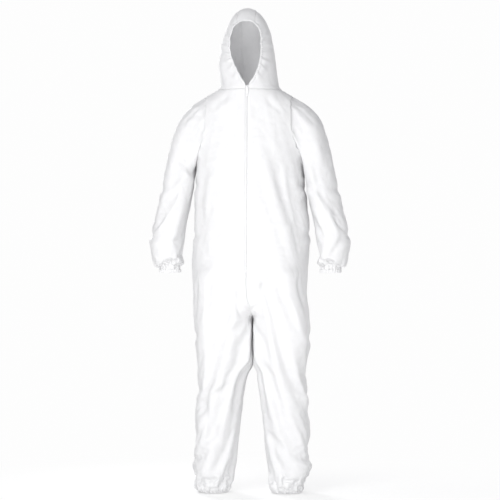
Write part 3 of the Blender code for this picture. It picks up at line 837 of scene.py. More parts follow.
def fold_lines(across, rest, folds, seed):
    """Valleys with a low ridge on one side, along lines seen from the front, the back or a side."""
    z = heights(rest)
    out = np.zeros(len(rest))
    for number, (start, start_z, end, end_z, width, depth) in enumerate(folds):
        run, rise = end - start, end_z - start_z
        length = math.hypot(run, rise)
        along = ((across - start) * run + (z - start_z) * rise) / length**2
        beside = ((across - start) * rise - (z - start_z) * run) / length
        beside = beside + 0.009 * noise(rest, 0.09, seed + number)
        ends = smooth_step(-0.20, 0.25, along) * smooth_step(1.20, 0.75, along)
        ridge = bell(beside, 1.5 * width, width)
        out += depth * ends * (0.55 * ridge - bell(beside, 0, width))
    return out


def broad_folds(rest):
    """The folds of the three tables, each faded out towards the garment's other sides."""
    x, y = rest[:, 0], rest[:, 1]
    front = fold_lines(x, rest, FRONT_FOLDS, 200) * smooth_step(0.0, -0.05, y)
    back = fold_lines(x, rest, BACK_FOLDS, 240) * smooth_step(0.0, 0.05, y)
    limb = np.where(on_arm(rest), 0.30, 0.18)
    outer = fold_lines(y, rest, OUTER_FOLDS, 280) * smooth_step(limb - 0.04, limb, np.abs(x))
    return front + back + outer


def hem_calm(rest):
    """0 at the zip's edges, rising to 1 away from them, so that the cloth stays flat on the zip tape."""
    zip_side = (rest[:, 1] < -0.05) & (heights(rest) > ZIP_BOTTOM.z - 0.02) & (heights(rest) < 1.50)
    return np.where(zip_side, smooth_step(0.006, 0.03, np.abs(rest[:, 0])), 1.0)


def refined(cutter):
    """The cut mesh after one subdivision, as an object with the layers rest, seam and region."""
    piece = add_piece("garment", mesh_from(cutter.bm, "garment"))
    smooth = piece.modifiers.new("smooth", "SUBSURF")
    smooth.levels = 1
    smooth.render_levels = 1
    apply_modifiers(piece)
    return piece


def layer(mesh, name, width):
    """A point layer's values as an array."""
    data = mesh.attributes[name].data
    return read_values(data, "vector" if width == 3 else "value", width, np.float32).astype(float)


def seam_distance(mesh, seam, points, reach=3):
    """Each point's distance along the mesh from the nearest seam, up to reach edges away."""
    a, b = edge_ends(mesh).T
    length = np.linalg.norm(points[a] - points[b], axis=1)
    distance = np.where(seam > 0.9, 0.0, 1.0)
    for _ in range(reach):
        step = distance.copy()
        np.minimum.at(step, a, distance[b] + length)
        np.minimum.at(step, b, distance[a] + length)
        distance = step
    return distance


def seam_shape(distance, rest):
    """A narrow valley where two panels meet, and small puckers that the thread pulls beside it."""
    valley = -0.0016 * bell(distance, 0, 0.0035)
    puckers = 0.0006 * noise(rest, 0.011, 121) * bell(distance, 0, 0.012)
    welt = 0.0006 * bell(distance, 0.0075, 0.004)
    return valley + puckers + welt


def shape_surface(piece):
    """Moves the draped surface in and out along its normals: creases, folds, gathers and seams."""
    mesh = piece.data
    points = read_points(mesh)
    rest = layer(mesh, "rest", 3)
    normals = read_values(mesh.vertex_normals, "vector", 3, np.float32)
    distance = seam_distance(mesh, layer(mesh, "seam", 1), points)
    out = crumple(rest) * np.where(on_hood(rest), 0.6, 1.0) + packing_creases(rest)
    out = (out + broad_folds(rest)) * hem_calm(rest)
    out = out + waist_gathers(rest) + face_gathers(rest) + hem_gathers(rest) + seam_shape(distance, rest)
    write_points(mesh, apart(rest, points + normals * out[:, None]))


def split_regions(piece):
    """One object for each region, with shared seam lines and no thickness yet."""
    mesh = piece.data
    points = read_points(mesh)
    rest = layer(mesh, "rest", 3)
    numbers = read_values(mesh.attributes["region"].data, "value", kind=np.int32)
    starts = read_values(mesh.polygons, "loop_start")
    totals = read_values(mesh.polygons, "loop_total")
    corners = read_values(mesh.loops, "vertex_index")
    pieces = {}
    for number, name in enumerate(REGIONS):
        mine = np.flatnonzero(numbers == number)
        faces = [corners[starts[k] : starts[k] + totals[k]] for k in mine]
        used, back = np.unique(np.concatenate(faces), return_inverse=True)
        local = np.split(back, np.cumsum([len(face) for face in faces])[:-1])
        panel = bpy.data.meshes.new(name)
        panel.from_pydata(points[used].tolist(), [], [face.tolist() for face in local])
        place = panel.attributes.new("rest", "FLOAT_VECTOR", "POINT")
        place.data.foreach_set("vector", rest[used].astype(np.float32).ravel())
        pieces[name] = add_piece(name, panel)
    bpy.data.objects.remove(piece)
    return pieces


CLOTH_THICKNESS = 0.0005


def thicken(piece):
    """Gives a sheet its thickness on the inner side."""
    solid = piece.modifiers.new("thickness", "SOLIDIFY")
    solid.thickness = CLOTH_THICKNESS
    solid.offset = -1
    apply_modifiers(piece)
    piece.data.shade_smooth()


def calmed(rest, draped):
    """The draped places with the trunk's drag lines softened, most of all in front beside the zip."""
    x, z = np.abs(rest[:, 0]), heights(rest)
    trunk = smooth_step(0.70, 0.85, z) * ~on_arm(rest)
    front = smooth_step(0.02, -0.06, rest[:, 1])
    share = 1 - trunk * (0.45 + 0.30 * front * (1 - 0.3 * smooth_step(0.12, 0.20, x)))
    return rest + (draped - rest) * share[:, None]


LEG_SHIFT = 0.014  # how far the left leg, and the line where the thighs meet, stand to the left
HOOD_SHIFT = 0.008  # how far the hood leans to the right
HOOD_BULGE = 0.009  # how far its right side stands out beyond that
LEG_CORNER = 0.009  # how far the left leg's outer front edge stands out
TRUNK_SWING = 0.008  # how far the trunk's sides stand to the left at the waist
SLEEVE_SWING = 0.009  # how far the sleeves stand outward at the waist
SWING_Z = 0.95
LEFT_LEG_OUTLINE = (  # height, width and depth of the outer side's bulges and notches
    (0.56, 0.050, 0.0060),
    (0.43, 0.022, -0.0035),
    (0.36, 0.045, 0.0060),
    (0.285, 0.018, -0.0030),
    (0.22, 0.035, 0.0045),
    (0.16, 0.016, -0.0035),
    (0.09, 0.030, 0.0050),
)
THIGHS_TOUCH = 0.0006  # between each thigh's cloth and the plane where they meet
THIGHS_APART_Z = 0.42  # the thighs part below this height, and touch from a little above it
THIGHS_MEET_Z = 0.48
THIGHS_TOP_Z = 0.60  # the highest level whose gap is closed fully
PRESSED_REACH = 0.055  # how far from the meeting line the thighs' fronts are pulled to it
PRESSED_Y = (-0.085, 0.10)  # the middle and width of the pressed part along Y


def meeting_line(z):
    """X of the line where the thighs meet."""
    return LEG_SHIFT * smooth_step(0.74, 0.62, z)


def left_leg_shape(x, y, z):
    """How far the outer side of the left leg stands out, with its bulges, notches and front edge."""
    side = smooth_step(0.10, 0.19, x) * (z < 0.74)
    out = sum(depth * bell(z, height, width) * side for height, width, depth in LEFT_LEG_OUTLINE)
    corner = bell(y, -0.075, 0.045) * smooth_step(0.12, 0.18, x)
    return out + LEG_CORNER * corner * smooth_step(0.80, 0.70, z) * smooth_step(0.03, 0.10, z)


def stance(rest):
    """How far the worn suit's parts are moved along X: the hood leans, and the left leg stands outward."""
    x, z = rest[:, 0], heights(rest)
    inner = np.where(x > 0, 1.0, smooth_step(-0.20, -0.02, x))
    low = np.where(x > 0, smooth_step(0.01, 0.08, z), smooth_step(0.38, 0.47, z))
    out = meeting_line(z) * inner * low + left_leg_shape(x, rest[:, 1], z)
    trunk = TRUNK_SWING * smooth_step(0.06, 0.16, np.abs(x))
    sleeve = SLEEVE_SWING * np.sign(x) * smooth_step(0.80, 0.86, z)
    out += bell(z, SWING_Z, 0.09) * np.where(on_arm(rest), sleeve, trunk)
    out -= HOOD_SHIFT * smooth_step(1.47, 1.62, z)
    bulge = smooth_step(0.03, 0.09, -x) * smooth_step(NECK_Z, NECK_Z + 0.05, z)
    return out - HOOD_BULGE * bell(z, 1.54, 0.07) * bulge


def closed_thighs(rest, draped):
    """The draped places with the thighs' inner sides together below the crotch, and pressed flat in front."""
    z = heights(draped)
    from_line = draped[:, 0] - meeting_line(z)
    side = np.sign(rest[:, 0])
    levels = np.linspace(THIGHS_APART_Z, THIGHS_TOP_Z, 10)
    parting = smooth_step(THIGHS_APART_Z, THIGHS_MEET_Z, z)
    share = parting * smooth_step(0.68, 0.645, z) * smooth_step(0.11, 0.01, np.abs(from_line))
    moved = draped.copy()
    for way in (-1, 1):
        mine = side == way
        gaps = [np.abs(from_line[mine & (np.abs(z - level) < 0.015)]).min() for level in levels]
        room = np.maximum(np.abs(from_line) - THIGHS_TOUCH, 0)
        shift = np.minimum(np.interp(z, levels, gaps) * share, room)
        moved[mine, 0] -= (way * shift)[mine]
    from_line = np.abs(moved[:, 0] - meeting_line(z))
    pressed = smooth_step(PRESSED_REACH, 0.0, from_line) * parting * smooth_step(0.64, THIGHS_TOP_Z, z)
    moved[:, 0] -= side * np.maximum(from_line - THIGHS_TOUCH, 0) * pressed * bell(draped[:, 1], *PRESSED_Y)
    return moved


def apart(rest, places):
    """The places with each thigh kept on its own side of the line where they meet."""
    z = heights(places)
    kept = places.copy()
    for side in (1, -1):
        mine = (z < 0.62) & (rest[:, 0] * side > 0)
        from_line = side * (places[mine, 0] - meeting_line(z[mine]))
        kept[mine, 0] += side * np.maximum(THIGHS_TOUCH - from_line, 0)
    return kept


# How much smaller the figure inside is than the garment's form
FIGURE = {"trunk": -0.014, "legs": -0.018, "sleeves": -0.018, "hood": -0.012}
GARMENT_VOXEL = 0.009
FIGURE_VOXEL = 0.014


def make_panels():
    """The cloth pieces by name, and a search tree of the whole garment's outer surface."""
    garment = voxel_form("garment", GARMENT_VOXEL)
    trim_ends(garment)
    figure = voxel_form("figure", FIGURE_VOXEL, rounds=8, **FIGURE)
    rest = read_points(garment.data)
    draped = calmed(rest, drape(garment, figure))
    draped[:, 0] += stance(rest)
    draped = closed_thighs(rest, draped)
    cutter = cut_pattern(garment.data, draped)
    bpy.data.objects.remove(garment)
    bpy.data.objects.remove(figure)
    piece = refined(cutter)
    shape_surface(piece)
    faces = [tuple(face.vertices) for face in piece.data.polygons]
    tree = BVHTree.FromPolygons(read_points(piece.data).tolist(), faces)
    thread = stitches(piece)
    panels = split_regions(piece)
    for number, panel in enumerate(panels.values()):
        thicken(panel)
        if number in thread:
            add_stitches(panel, *thread[number])
    return panels, tree


# ---------------------------------------------------------------- hems and the waist elastic


def grid_piece(name, grid, wrap_rows=False):
    """A tube from a grid of points: rows along it and a closed section across it, with ends filled."""
    rows, columns = grid.shape[:2]
    mesh = bpy.data.meshes.new(name)
    faces = []
    for row in range(rows if wrap_rows else rows - 1):
        after = (row + 1) % rows
        for column in range(columns):
            beside = (column + 1) % columns
            corners = (row, column), (row, beside), (after, beside), (after, column)
            faces.append([r * columns + c for r, c in corners])
    if not wrap_rows:
        faces.append(list(range(columns))[::-1])
        faces.append([(rows - 1) * columns + c for c in range(columns)])
    mesh.from_pydata(grid.reshape(-1, 3).tolist(), [], faces)
    bm = bmesh.new()
    bm.from_mesh(mesh)
    outward_faces(bm).to_mesh(mesh)
    bm.free()
    mesh.shade_smooth()
    return add_piece(name, mesh)


def signed_power(values, exponent):
    return np.sign(values) * np.abs(values) ** exponent


def unit_rows(rows):
    return rows / np.linalg.norm(rows, axis=1)[:, None]


def ring_hem(name, side, end, middle_y, low, high, pleats, seed, half_thickness=0.0016):
    """A turned hem with its elastic inside, pleated all round a sleeve's or leg's end."""
    middle_x, radius_x, radius_y = end
    angle = np.linspace(0, 2 * math.pi, pleats * 10, endpoint=False)
    turn = np.linspace(0, 2 * math.pi, 12, endpoint=False)
    line = np.stack(
        [
            side * middle_x + radius_x * signed_power(np.cos(angle), 2 / SQUARENESS),
            middle_y + radius_y * signed_power(np.sin(angle), 2 / SQUARENESS),
            np.zeros(len(angle)),
        ],
        axis=1,
    )
    outward = np.stack([np.cos(angle) / radius_x, np.sin(angle) / radius_y, np.zeros(len(angle))], axis=1)
    outward = unit_rows(outward)
    wander = noise(line, 0.02, seed)
    pleat = 0.0013 * np.cos(pleats * angle + 1.5 * wander) + 0.0005 * noise(line, 0.006, seed + 1)
    lift = 0.0008 * noise(line, 0.012, seed + 2)
    out = pleat[:, None] * (0.4 + 0.6 * np.cos(turn)) + half_thickness * np.cos(turn)
    up = signed_power(np.sin(turn), 0.7) * (high - low) / 2 + (high + low) / 2 + GROUND + lift[:, None]
    grid = line[:, None, :] + outward[:, None, :] * out[:, :, None]
    grid[:, :, 2] = up
    return grid_piece(name, grid, wrap_rows=True)


def hood_front(x, z):
    """The hood's outer surface in front, at rest and uncreased."""
    half_width, front, _ = through(HOOD, z)
    share = min(abs(x) / half_width, 1.0)
    return -front * (1 - share**SQUARENESS) ** (1 / SQUARENESS)


def face_line(count):
    """Even points round the face opening's edge, from the right side of the chin over the forehead."""
    share = np.linspace(0.03, math.pi / 2, 200)
    z = FACE_BOTTOM_Z + (FACE_TOP_Z - FACE_BOTTOM_Z) * np.sin(share)
    x = np.maximum(face_half_width(z), 0)
    x, z = np.append(-x, x[-2::-1]), np.append(z, z[-2::-1])
    run = np.append(0, np.cumsum(np.hypot(np.diff(x), np.diff(z))))
    even = np.linspace(0, run[-1], count)
    return np.interp(even, run, x), np.interp(even, run, z), run[-1]


def smoothed(rows, reach):
    """Each row averaged with reach rows on each side."""
    padded = np.concatenate([np.repeat(rows[:1], reach, 0), rows, np.repeat(rows[-1:], reach, 0)])
    kernel = np.ones(2 * reach + 1) / (2 * reach + 1)
    return np.stack([np.convolve(padded[:, k], kernel, "valid") for k in range(3)], axis=1)


def face_hem(tree, pleat_length=0.0068, half_width=0.0050, half_thickness=0.0017, count=760):
    """The turned hem round the face opening, pulled into small pleats by the elastic inside it."""
    xs, zs, length = face_line(count)
    starts = np.array([(x, hood_front(x, z), z + GROUND) for x, z in zip(xs, zs)])
    starts[:, 0] += stance(starts)
    places, normals = [], []
    for start in starts:
        place, normal, _, _ = tree.find_nearest(Vector(start))
        places.append(place)
        normals.append(normal)
    line = smoothed(np.array(places), 4)
    normal = unit_rows(smoothed(np.array(normals), 10))
    along = unit_rows(np.gradient(line, axis=0))
    outward = np.cross(normal, along)
    centre = np.array((line[:, 0].mean(), line[:, 1].mean(), FACE_MIDDLE_Z + GROUND))
    outward *= np.sign(((line - centre) * outward).sum(axis=1))[:, None]
    run = np.linspace(0, length, count)
    wander = noise(line, 0.03, 301)
    pleat = np.cos(run * 2 * math.pi / pleat_length + 1.6 * wander)
    slack = 0.35 + 0.65 * smooth_step(1.475, 1.51, zs) * smooth_step(1.70, 1.66, zs)
    turn = np.linspace(0, 2 * math.pi, 12, endpoint=False)
    rise = (0.0008 * pleat * slack)[:, None] * (0.7 + 0.3 * np.sin(turn)) + half_thickness * np.sin(turn)
    beside = half_width * (0.72 - np.cos(turn)) + (0.0006 * noise(line, 0.008, 305))[:, None]
    grid = line[:, None] + outward[:, None] * beside[:, :, None] + normal[:, None] * rise[:, :, None]
    return grid_piece("face_hem", grid)


def waist_band(tree, reach=0.160, half_height=0.0095, depth=0.0036, thickness=0.0011):
    """The elastic sewn inside the back of the waist, on the inner side of the cloth."""
    levels = np.linspace(-half_height, half_height, 6)
    rows = []
    for x in np.linspace(-reach, reach, 180):
        ripple = 0.0004 * math.sin(x * 2 * math.pi / 0.0042)
        row = []
        for level in levels:
            hit = tree.ray_cast(Vector((x, 0.02, WAIST_Z + level + GROUND)), Vector((0, 1, 0)))[0]
            row.append((x, hit.y - depth + ripple, hit.z))
        rows.append(row)
    near = np.array(rows)
    near[:, :, 1] = smoothed(near[:, :, 1][:, (0, 2, 5)], 2).mean(axis=1)[:, None]
    far = near[:, ::-1].copy()
    far[:, :, 1] -= thickness
    return grid_piece("waist_elastic_band", np.concatenate([near, far], axis=1))


# ---------------------------------------------------------------- stitches

STITCH_LENGTH = 0.0034
STITCH_RADIUS = 0.00032
STITCH_OFFSET = 0.0026  # from the seam
SHORTEST_SEAM_EDGE = 0.0022
# A stitch is a square rod pointed at both ends: point 0, two rings of four, point 9
STITCH_FACES = (
    *((0, 1 + k, 1 + (k + 1) % 4) for k in range(4)),
    *((1 + k, 5 + k, 5 + (k + 1) % 4, 1 + (k + 1) % 4) for k in range(4)),
    *((9, 5 + (k + 1) % 4, 5 + k) for k in range(4)),
)


def seam_edges(mesh, numbers):
    """The seams' edges, each with the face of the highest region number beside it."""
    points = read_points(mesh)
    seam = layer(mesh, "seam", 1)
    a, b = edge_ends(mesh).T
    totals = read_values(mesh.polygons, "loop_total")
    corner_faces = np.repeat(np.arange(len(totals)), totals)
    rank = numbers[corner_faces] * len(totals) + corner_faces
    best = np.full(len(a), -1, np.int64)
    np.maximum.at(best, read_values(mesh.loops, "edge_index"), rank)
    long_enough = np.linalg.norm(points[b] - points[a], axis=1) > SHORTEST_SEAM_EDGE
    chosen = np.flatnonzero((seam[a] > 0.95) & (seam[b] > 0.95) & long_enough & (best >= 0))
    return points[a[chosen]], points[b[chosen]], best[chosen] % len(totals)


def stitches(piece):
    """{region number: (points, faces)} of a thread's stitches beside every seam."""
    mesh = piece.data
    numbers = read_values(mesh.attributes["region"].data, "value", kind=np.int32)
    start, end, face = seam_edges(mesh, numbers)
    length = np.linalg.norm(end - start, axis=1)
    middle = (start + end) / 2
    along = (end - start) / length[:, None]
    beside = read_values(mesh.polygons, "center", 3, float)[face] - middle
    beside = unit_rows(beside - along * (beside * along).sum(axis=1)[:, None])
    normal = read_values(mesh.polygons, "normal", 3, float)[face]
    centre = middle + beside * STITCH_OFFSET + normal * 0.0002
    half = np.minimum(length * 0.36, STITCH_LENGTH / 2)[:, None]
    rings = [centre - along * half * 1.25]
    for share in (-0.7, 0.7):
        for side, up in ((1, 0), (0, 1), (-1, 0), (0, -1)):
            rings.append(centre + along * half * share + (beside * side + normal * up) * STITCH_RADIUS)
    rings.append(centre + along * half * 1.25)
    solid = np.stack(rings, axis=1)
    out = {}
    for number in np.unique(numbers[face]):
        mine = solid[numbers[face] == number]
        rods = range(0, len(rings) * len(mine), len(rings))
        out[int(number)] = (mine.reshape(-1, 3), [[k + c for c in one] for k in rods for one in STITCH_FACES])
    return out


def add_stitches(panel, points, faces):
    """Adds solids to a panel, in its second material."""
    bm = bmesh.new()
    bm.from_mesh(panel.data)
    verts = [bm.verts.new(point) for point in points]
    made = [bm.faces.new([verts[k] for k in face]) for face in faces]
    for face in made:
        face.material_index = 1
        face.smooth = True
    bmesh.ops.recalc_face_normals(bm, faces=made)
    bm.to_mesh(panel.data)
    bm.free()


# ---------------------------------------------------------------- zip
# In the zip's own frame: origin at its top, -Z down the chain, -Y outwards, the panels' face at y = 0

ZIP_FRAME = Matrix.Translation(ZIP_TOP + Vector((0, 0, GROUND))) @ Matrix.Rotation(ZIP_TILT, 4, "X")
TAPE_X = (0.0003, 0.0165)
TAPE_Y = 0.0038
TAPE_DIP = 0.0019  # how much deeper the tape lies behind the coil
COIL_MIDDLE = (0.0013, 0.0038)
COIL_RADII = (0.0013, 0.0010)
COIL_WIRE = 0.00029
COIL_PITCH = 0.00128
CHAIN_TOP = -0.0045
CHAIN_BOTTOM = -(ZIP_LENGTH - 0.006)
SLIDER_TOP = -0.0050
SLIDER_LENGTH = 0.015
PIN = Vector((0, -0.0040, SLIDER_TOP - 0.0045))
PULL_LENGTH = 0.030


def zip_tape(name, side):
    """A woven tape with fine ribs along it, dipping behind the coil that is sewn to its inner edge."""
    ribs = 19
    across = np.linspace(TAPE_X[0], TAPE_X[1], ribs)
    middle_y = TAPE_Y + TAPE_DIP * smooth_step(0.0034, 0.0024, across)
    half = np.where(np.arange(ribs) % 2, 0.00026, 0.00034)
    half[0], half[-1] = 0.00020, 0.00016
    levels = np.arange(0, -ZIP_LENGTH, -0.002)
    wave = 0.0002 * noise(np.stack([0 * levels, 0 * levels, levels], axis=1), 0.02, 401 + side)
    near = np.zeros((len(levels), ribs, 3))
    near[:, :, 0] = side * across
    near[:, :, 1] = middle_y - half + wave[:, None]
    near[:, :, 2] = levels[:, None]
    far = near[:, ::-1].copy()
    far[:, :, 1] = (middle_y + half)[::-1] + wave[:, None]
    piece = grid_piece(name, np.concatenate([near, far], axis=1))
    piece.data.transform(ZIP_FRAME)
    return piece


def zip_coil(name, side):
    """One side of the chain: a nylon wire coiled along the tape's edge, half a turn after the other."""
    turns = int((CHAIN_TOP - CHAIN_BOTTOM - COIL_PITCH) / COIL_PITCH)
    per_turn = 10
    angle = np.arange(turns * per_turn + 1) * 2 * math.pi / per_turn
    z = CHAIN_TOP - COIL_WIRE - angle / (2 * math.pi) * COIL_PITCH
    if side < 0:
        z = z - COIL_PITCH / 2
    radial = np.stack([side * np.cos(angle), np.sin(angle), 0 * angle], axis=1)
    line = np.stack(
        [
            side * (COIL_MIDDLE[0] + COIL_RADII[0] * np.cos(angle)),
            COIL_MIDDLE[1] + COIL_RADII[1] * np.sin(angle),
            z,
        ],
        axis=1,
    )
    grid = np.zeros((len(angle), 4, 3))
    for corner in range(4):
        turn = corner * math.pi / 2
        up = np.array((0, 0, math.sin(turn)))
        grid[:, corner] = line + COIL_WIRE * (radial * math.cos(turn) + up)
    piece = grid_piece(name, grid)
    piece.data.transform(ZIP_FRAME)
    return piece


def plate(bm, outline, low_y, high_y):
    """An outline of x and z, made a plate between two y."""
    near = [bm.verts.new((x, low_y, z)) for x, z in outline]
    far = [bm.verts.new((x, high_y, z)) for x, z in outline]
    bm.faces.new(near)
    bm.faces.new(far[::-1])
    for k in range(len(outline)):
        j = (k + 1) % len(outline)
        bm.faces.new((near[j], near[k], far[k], far[j]))


def box(bm, low, high):
    """A box between two corners."""
    size = [h - l for l, h in zip(low, high)]
    middle = [(h + l) / 2 for l, h in zip(low, high)]
    place = Matrix.Translation(middle) @ Matrix.Diagonal((*size, 1))
    bmesh.ops.create_cube(bm, size=1, matrix=place)


def pin(bm, place, radius, length, segments):
    """A cylinder along X."""
    matrix = Matrix.Translation(place) @ Matrix.Rotation(math.pi / 2, 4, "Y")
    bmesh.ops.create_cone(
        bm, cap_ends=True, segments=segments, radius1=radius, radius2=radius, depth=length, matrix=matrix
    )


def bevelled(name, mesh, width, angle, place):
    """The mesh as a piece with its sharp edges rounded, moved to its place."""
    piece = add_piece(name, mesh)
    edges = piece.modifiers.new("edges", "BEVEL")
    edges.width = width
    edges.segments = 2
    edges.limit_method = "ANGLE"
    edges.angle_limit = math.radians(angle)
    apply_modifiers(piece)
    piece.data.shade_smooth()
    piece.data.set_sharp_from_angle(angle=math.radians(40))
    piece.data.transform(place)
    return piece


def hardware(name, build, bevel):
    """A small part in the zip's frame."""
    bm = bmesh.new()
    build(bm)
    return bevelled(name, mesh_from(outward_faces(bm), name), bevel, 30, ZIP_FRAME)


def slider_outline(half_top, half_bottom, waist):
    """A slider plate: broad shoulders at the top, a narrower foot, rounded corners."""
    top, bottom = SLIDER_TOP, SLIDER_TOP - SLIDER_LENGTH
    right = [
        (half_top * 0.45, top),
        (half_top * 0.85, top - 0.0006),
        (half_top, top - 0.0020),
        (half_top, top - 0.0050),
        (waist, top - 0.0085),
        (half_bottom, top - 0.0115),
        (half_bottom, bottom + 0.0010),
        (half_bottom * 0.7, bottom),
    ]
    return right + [(-x, z) for x, z in reversed(right)]


SLIDER_PLATE = (0.0050, 0.0042, 0.0044)  # half widths at its shoulders, its foot and its waist
SLIDER_RELIEF = (0.0032, 0.0026, 0.0028)  # of the raised middle of the front plate


def build_slider(bm):
    """Two plates joined by a wedge, rims that guide the coils, and ears that hold the pull's pin."""
    top, bottom = SLIDER_TOP, SLIDER_TOP - SLIDER_LENGTH
    plate(bm, slider_outline(*SLIDER_PLATE), -0.0010, 0.0019)
    plate(bm, slider_outline(*SLIDER_RELIEF), -0.0012, -0.0008)
    plate(bm, slider_outline(*SLIDER_PLATE), 0.0056, 0.0069)
    box(bm, (-0.0003, 0.0018, top - 0.0050), (0.0003, 0.0058, top))
    for _, side in SIDES:
        xs = sorted((side * 0.0037, side * 0.0048))
        box(bm, (xs[0], 0.0018, bottom + 0.001), (xs[1], 0.0028, top - 0.002))
        box(bm, (xs[0], 0.0048, bottom + 0.001), (xs[1], 0.0058, top - 0.002))
        xs = sorted((side * 0.0021, side * 0.0032))
        box(bm, (xs[0], -0.0030, PIN.z - 0.0026), (xs[1], -0.0009, PIN.z + 0.0026))
        box(bm, (xs[0], PIN.y - 0.0013, PIN.z - 0.0015), (xs[1], -0.0028, PIN.z + 0.0015))
    pin(bm, PIN, 0.0007, 0.0054, 16)


def loop_points(half_width, low, high, corner, steps=5):
    """A rounded rectangle of x and z, clockwise from its top right corner."""
    points = []
    x, top, bottom = half_width - corner, high - corner, low + corner
    for quarter, (middle_x, middle_z) in enumerate(((x, top), (x, bottom), (-x, bottom), (-x, top))):
        for k in range(steps + 1):
            angle = math.radians(90 - 90 * quarter - 90 * k / steps)
            points.append((middle_x + corner * math.cos(angle), middle_z + corner * math.sin(angle)))
    return points


def pull_tab(name):
    """The pull: an eye on the slider's pin, a neck, and a flat grip with a slot and ridges."""
    edge = 0.00022
    curve = bpy.data.curves.new(name, "CURVE")
    curve.dimensions = "2D"
    curve.fill_mode = "BOTH"
    curve.extrude = 0.00055
    curve.bevel_depth = edge
    curve.bevel_resolution = 1
    grip = loop_points(0.0042 - edge, -PULL_LENGTH + edge, -0.0080, 0.0016)
    slot = loop_points(0.0018 + edge, -PULL_LENGTH + 0.0030, -PULL_LENGTH + 0.0110, 0.0014)
    for points in (grip, slot):
        spline = curve.splines.new("POLY")
        spline.points.add(len(points) - 1)
        for target, (x, z) in zip(spline.points, points):
            target.co = (x, z, 0, 1)
        spline.use_cyclic_u = True
    holder = add_piece(name, curve)
    bpy.context.view_layer.update()
    graph = bpy.context.evaluated_depsgraph_get()
    mesh = bpy.data.meshes.new_from_object(holder.evaluated_get(graph))
    bpy.data.objects.remove(holder)
    mesh.transform(Matrix.Rotation(math.pi / 2, 4, "X"))
    bm = bmesh.new()
    bm.from_mesh(mesh)
    bmesh.ops.remove_doubles(bm, verts=bm.verts, dist=1e-6)
    right = [(0.0014, -0.0018), (0.0015, -0.0060), (0.0024, -0.0086)]
    plate(bm, right + [(-x, z) for x, z in reversed(right)], -0.0006, 0.0006)
    for k in range(4):
        level = -0.0105 - 0.0016 * k
        box(bm, (-0.0030, -0.00098, level), (0.0030, -0.0006, level + 0.0007))
    pin(bm, (0, 0, 0), 0.0019, 0.0031, 20)
    outward_faces(bm).to_mesh(mesh)
    bm.free()
    return bevelled(name, mesh, 0.00018, 50, ZIP_FRAME @ Matrix.Translation(PIN))


def build_top_stop(side):
    def build(bm):
        xs = sorted((side * 0.0006, side * 0.0030))
        box(bm, (xs[0], 0.0022, CHAIN_TOP + 0.0005), (xs[1], 0.0054, -0.0006))

    return build


def build_bottom_stop(bm):
    box(bm, (-0.0030, 0.0021, 0.0008 - ZIP_LENGTH), (0.0030, 0.0055, CHAIN_BOTTOM - 0.0004))


# ---------------------------------------------------------------- materials


class Surface:
    """A new material: its shader, and procedural patterns laid out in the object's own space."""

    def __init__(self, name, **values):
        self.material = bpy.data.materials.new(name)
        self.material.use_nodes = True
        self.nodes = self.material.node_tree.nodes
        self.shader = self.nodes["Principled BSDF"]
        self.place = self.nodes.new("ShaderNodeTexCoord").outputs["Object"]
        self.fill(self.shader, values)

    def fill(self, node, values):
        """Sets a node's inputs, named with _ for each space."""
        for name, value in values.items():
            node.inputs[name.replace("_", " ")].default_value = value

    def join(self, source, target):
        self.material.node_tree.links.new(source, target)

    def node(self, kind, source=None, **values):
        """A node, with source joined to its first input."""
        node = self.nodes.new(kind)
        self.fill(node, values)
        if source is not None:
            self.join(source, node.inputs[0])
        return node

    def pattern(self, kind, **values):
        """What a texture node puts out, other than its colour."""
        node = self.node(kind, self.place, **values)
        return node.outputs["Distance" if "Voronoi" in kind else "Fac"]

    def waves(self, direction, **values):
        pattern = self.pattern("ShaderNodeTexWave", Detail=1, **values)
        pattern.node.bands_direction = direction
        return pattern

    def ramp(self, source, stops):
        node = self.node("ShaderNodeValToRGB", source)
        for element, (position, colour) in zip(node.color_ramp.elements, stops):
            element.position = position
            element.color = (*colour, 1)
        return node.outputs["Color"]

    def spread(self, source, low, high):
        return self.node("ShaderNodeMapRange", source, To_Min=low, To_Max=high).outputs["Result"]

    def bump(self, height, strength, distance, under=None):
        node = self.node("ShaderNodeBump", Strength=strength, Distance=distance)
        self.join(height, node.inputs["Height"])
        if under is not None:
            self.join(under, node.inputs["Normal"])
        return node.outputs["Normal"]

    def mixed(self, first, second, share):
        """The material with two shaders mixed on its surface, by a number or a node's output."""
        mix = self.node("ShaderNodeMixShader")
        if isinstance(share, float):
            mix.inputs["Fac"].default_value = share
        else:
            self.join(share, mix.inputs["Fac"])
        self.join(first, mix.inputs[1])
        self.join(second, mix.inputs[2])
        self.join(mix.outputs["Shader"], self.nodes["Material Output"].inputs["Surface"])
        return self.material

    def dressed(self, tone, roughness, normal):
        """The material with its shader's tone, roughness and normal joined."""
        for source, name in ((tone, "Base Color"), (roughness, "Roughness"), (normal, "Normal")):
            self.join(source, self.shader.inputs[name])
        return self.material


SHOWS_THROUGH = 0.27  # share of the light that passes through the thin cloth


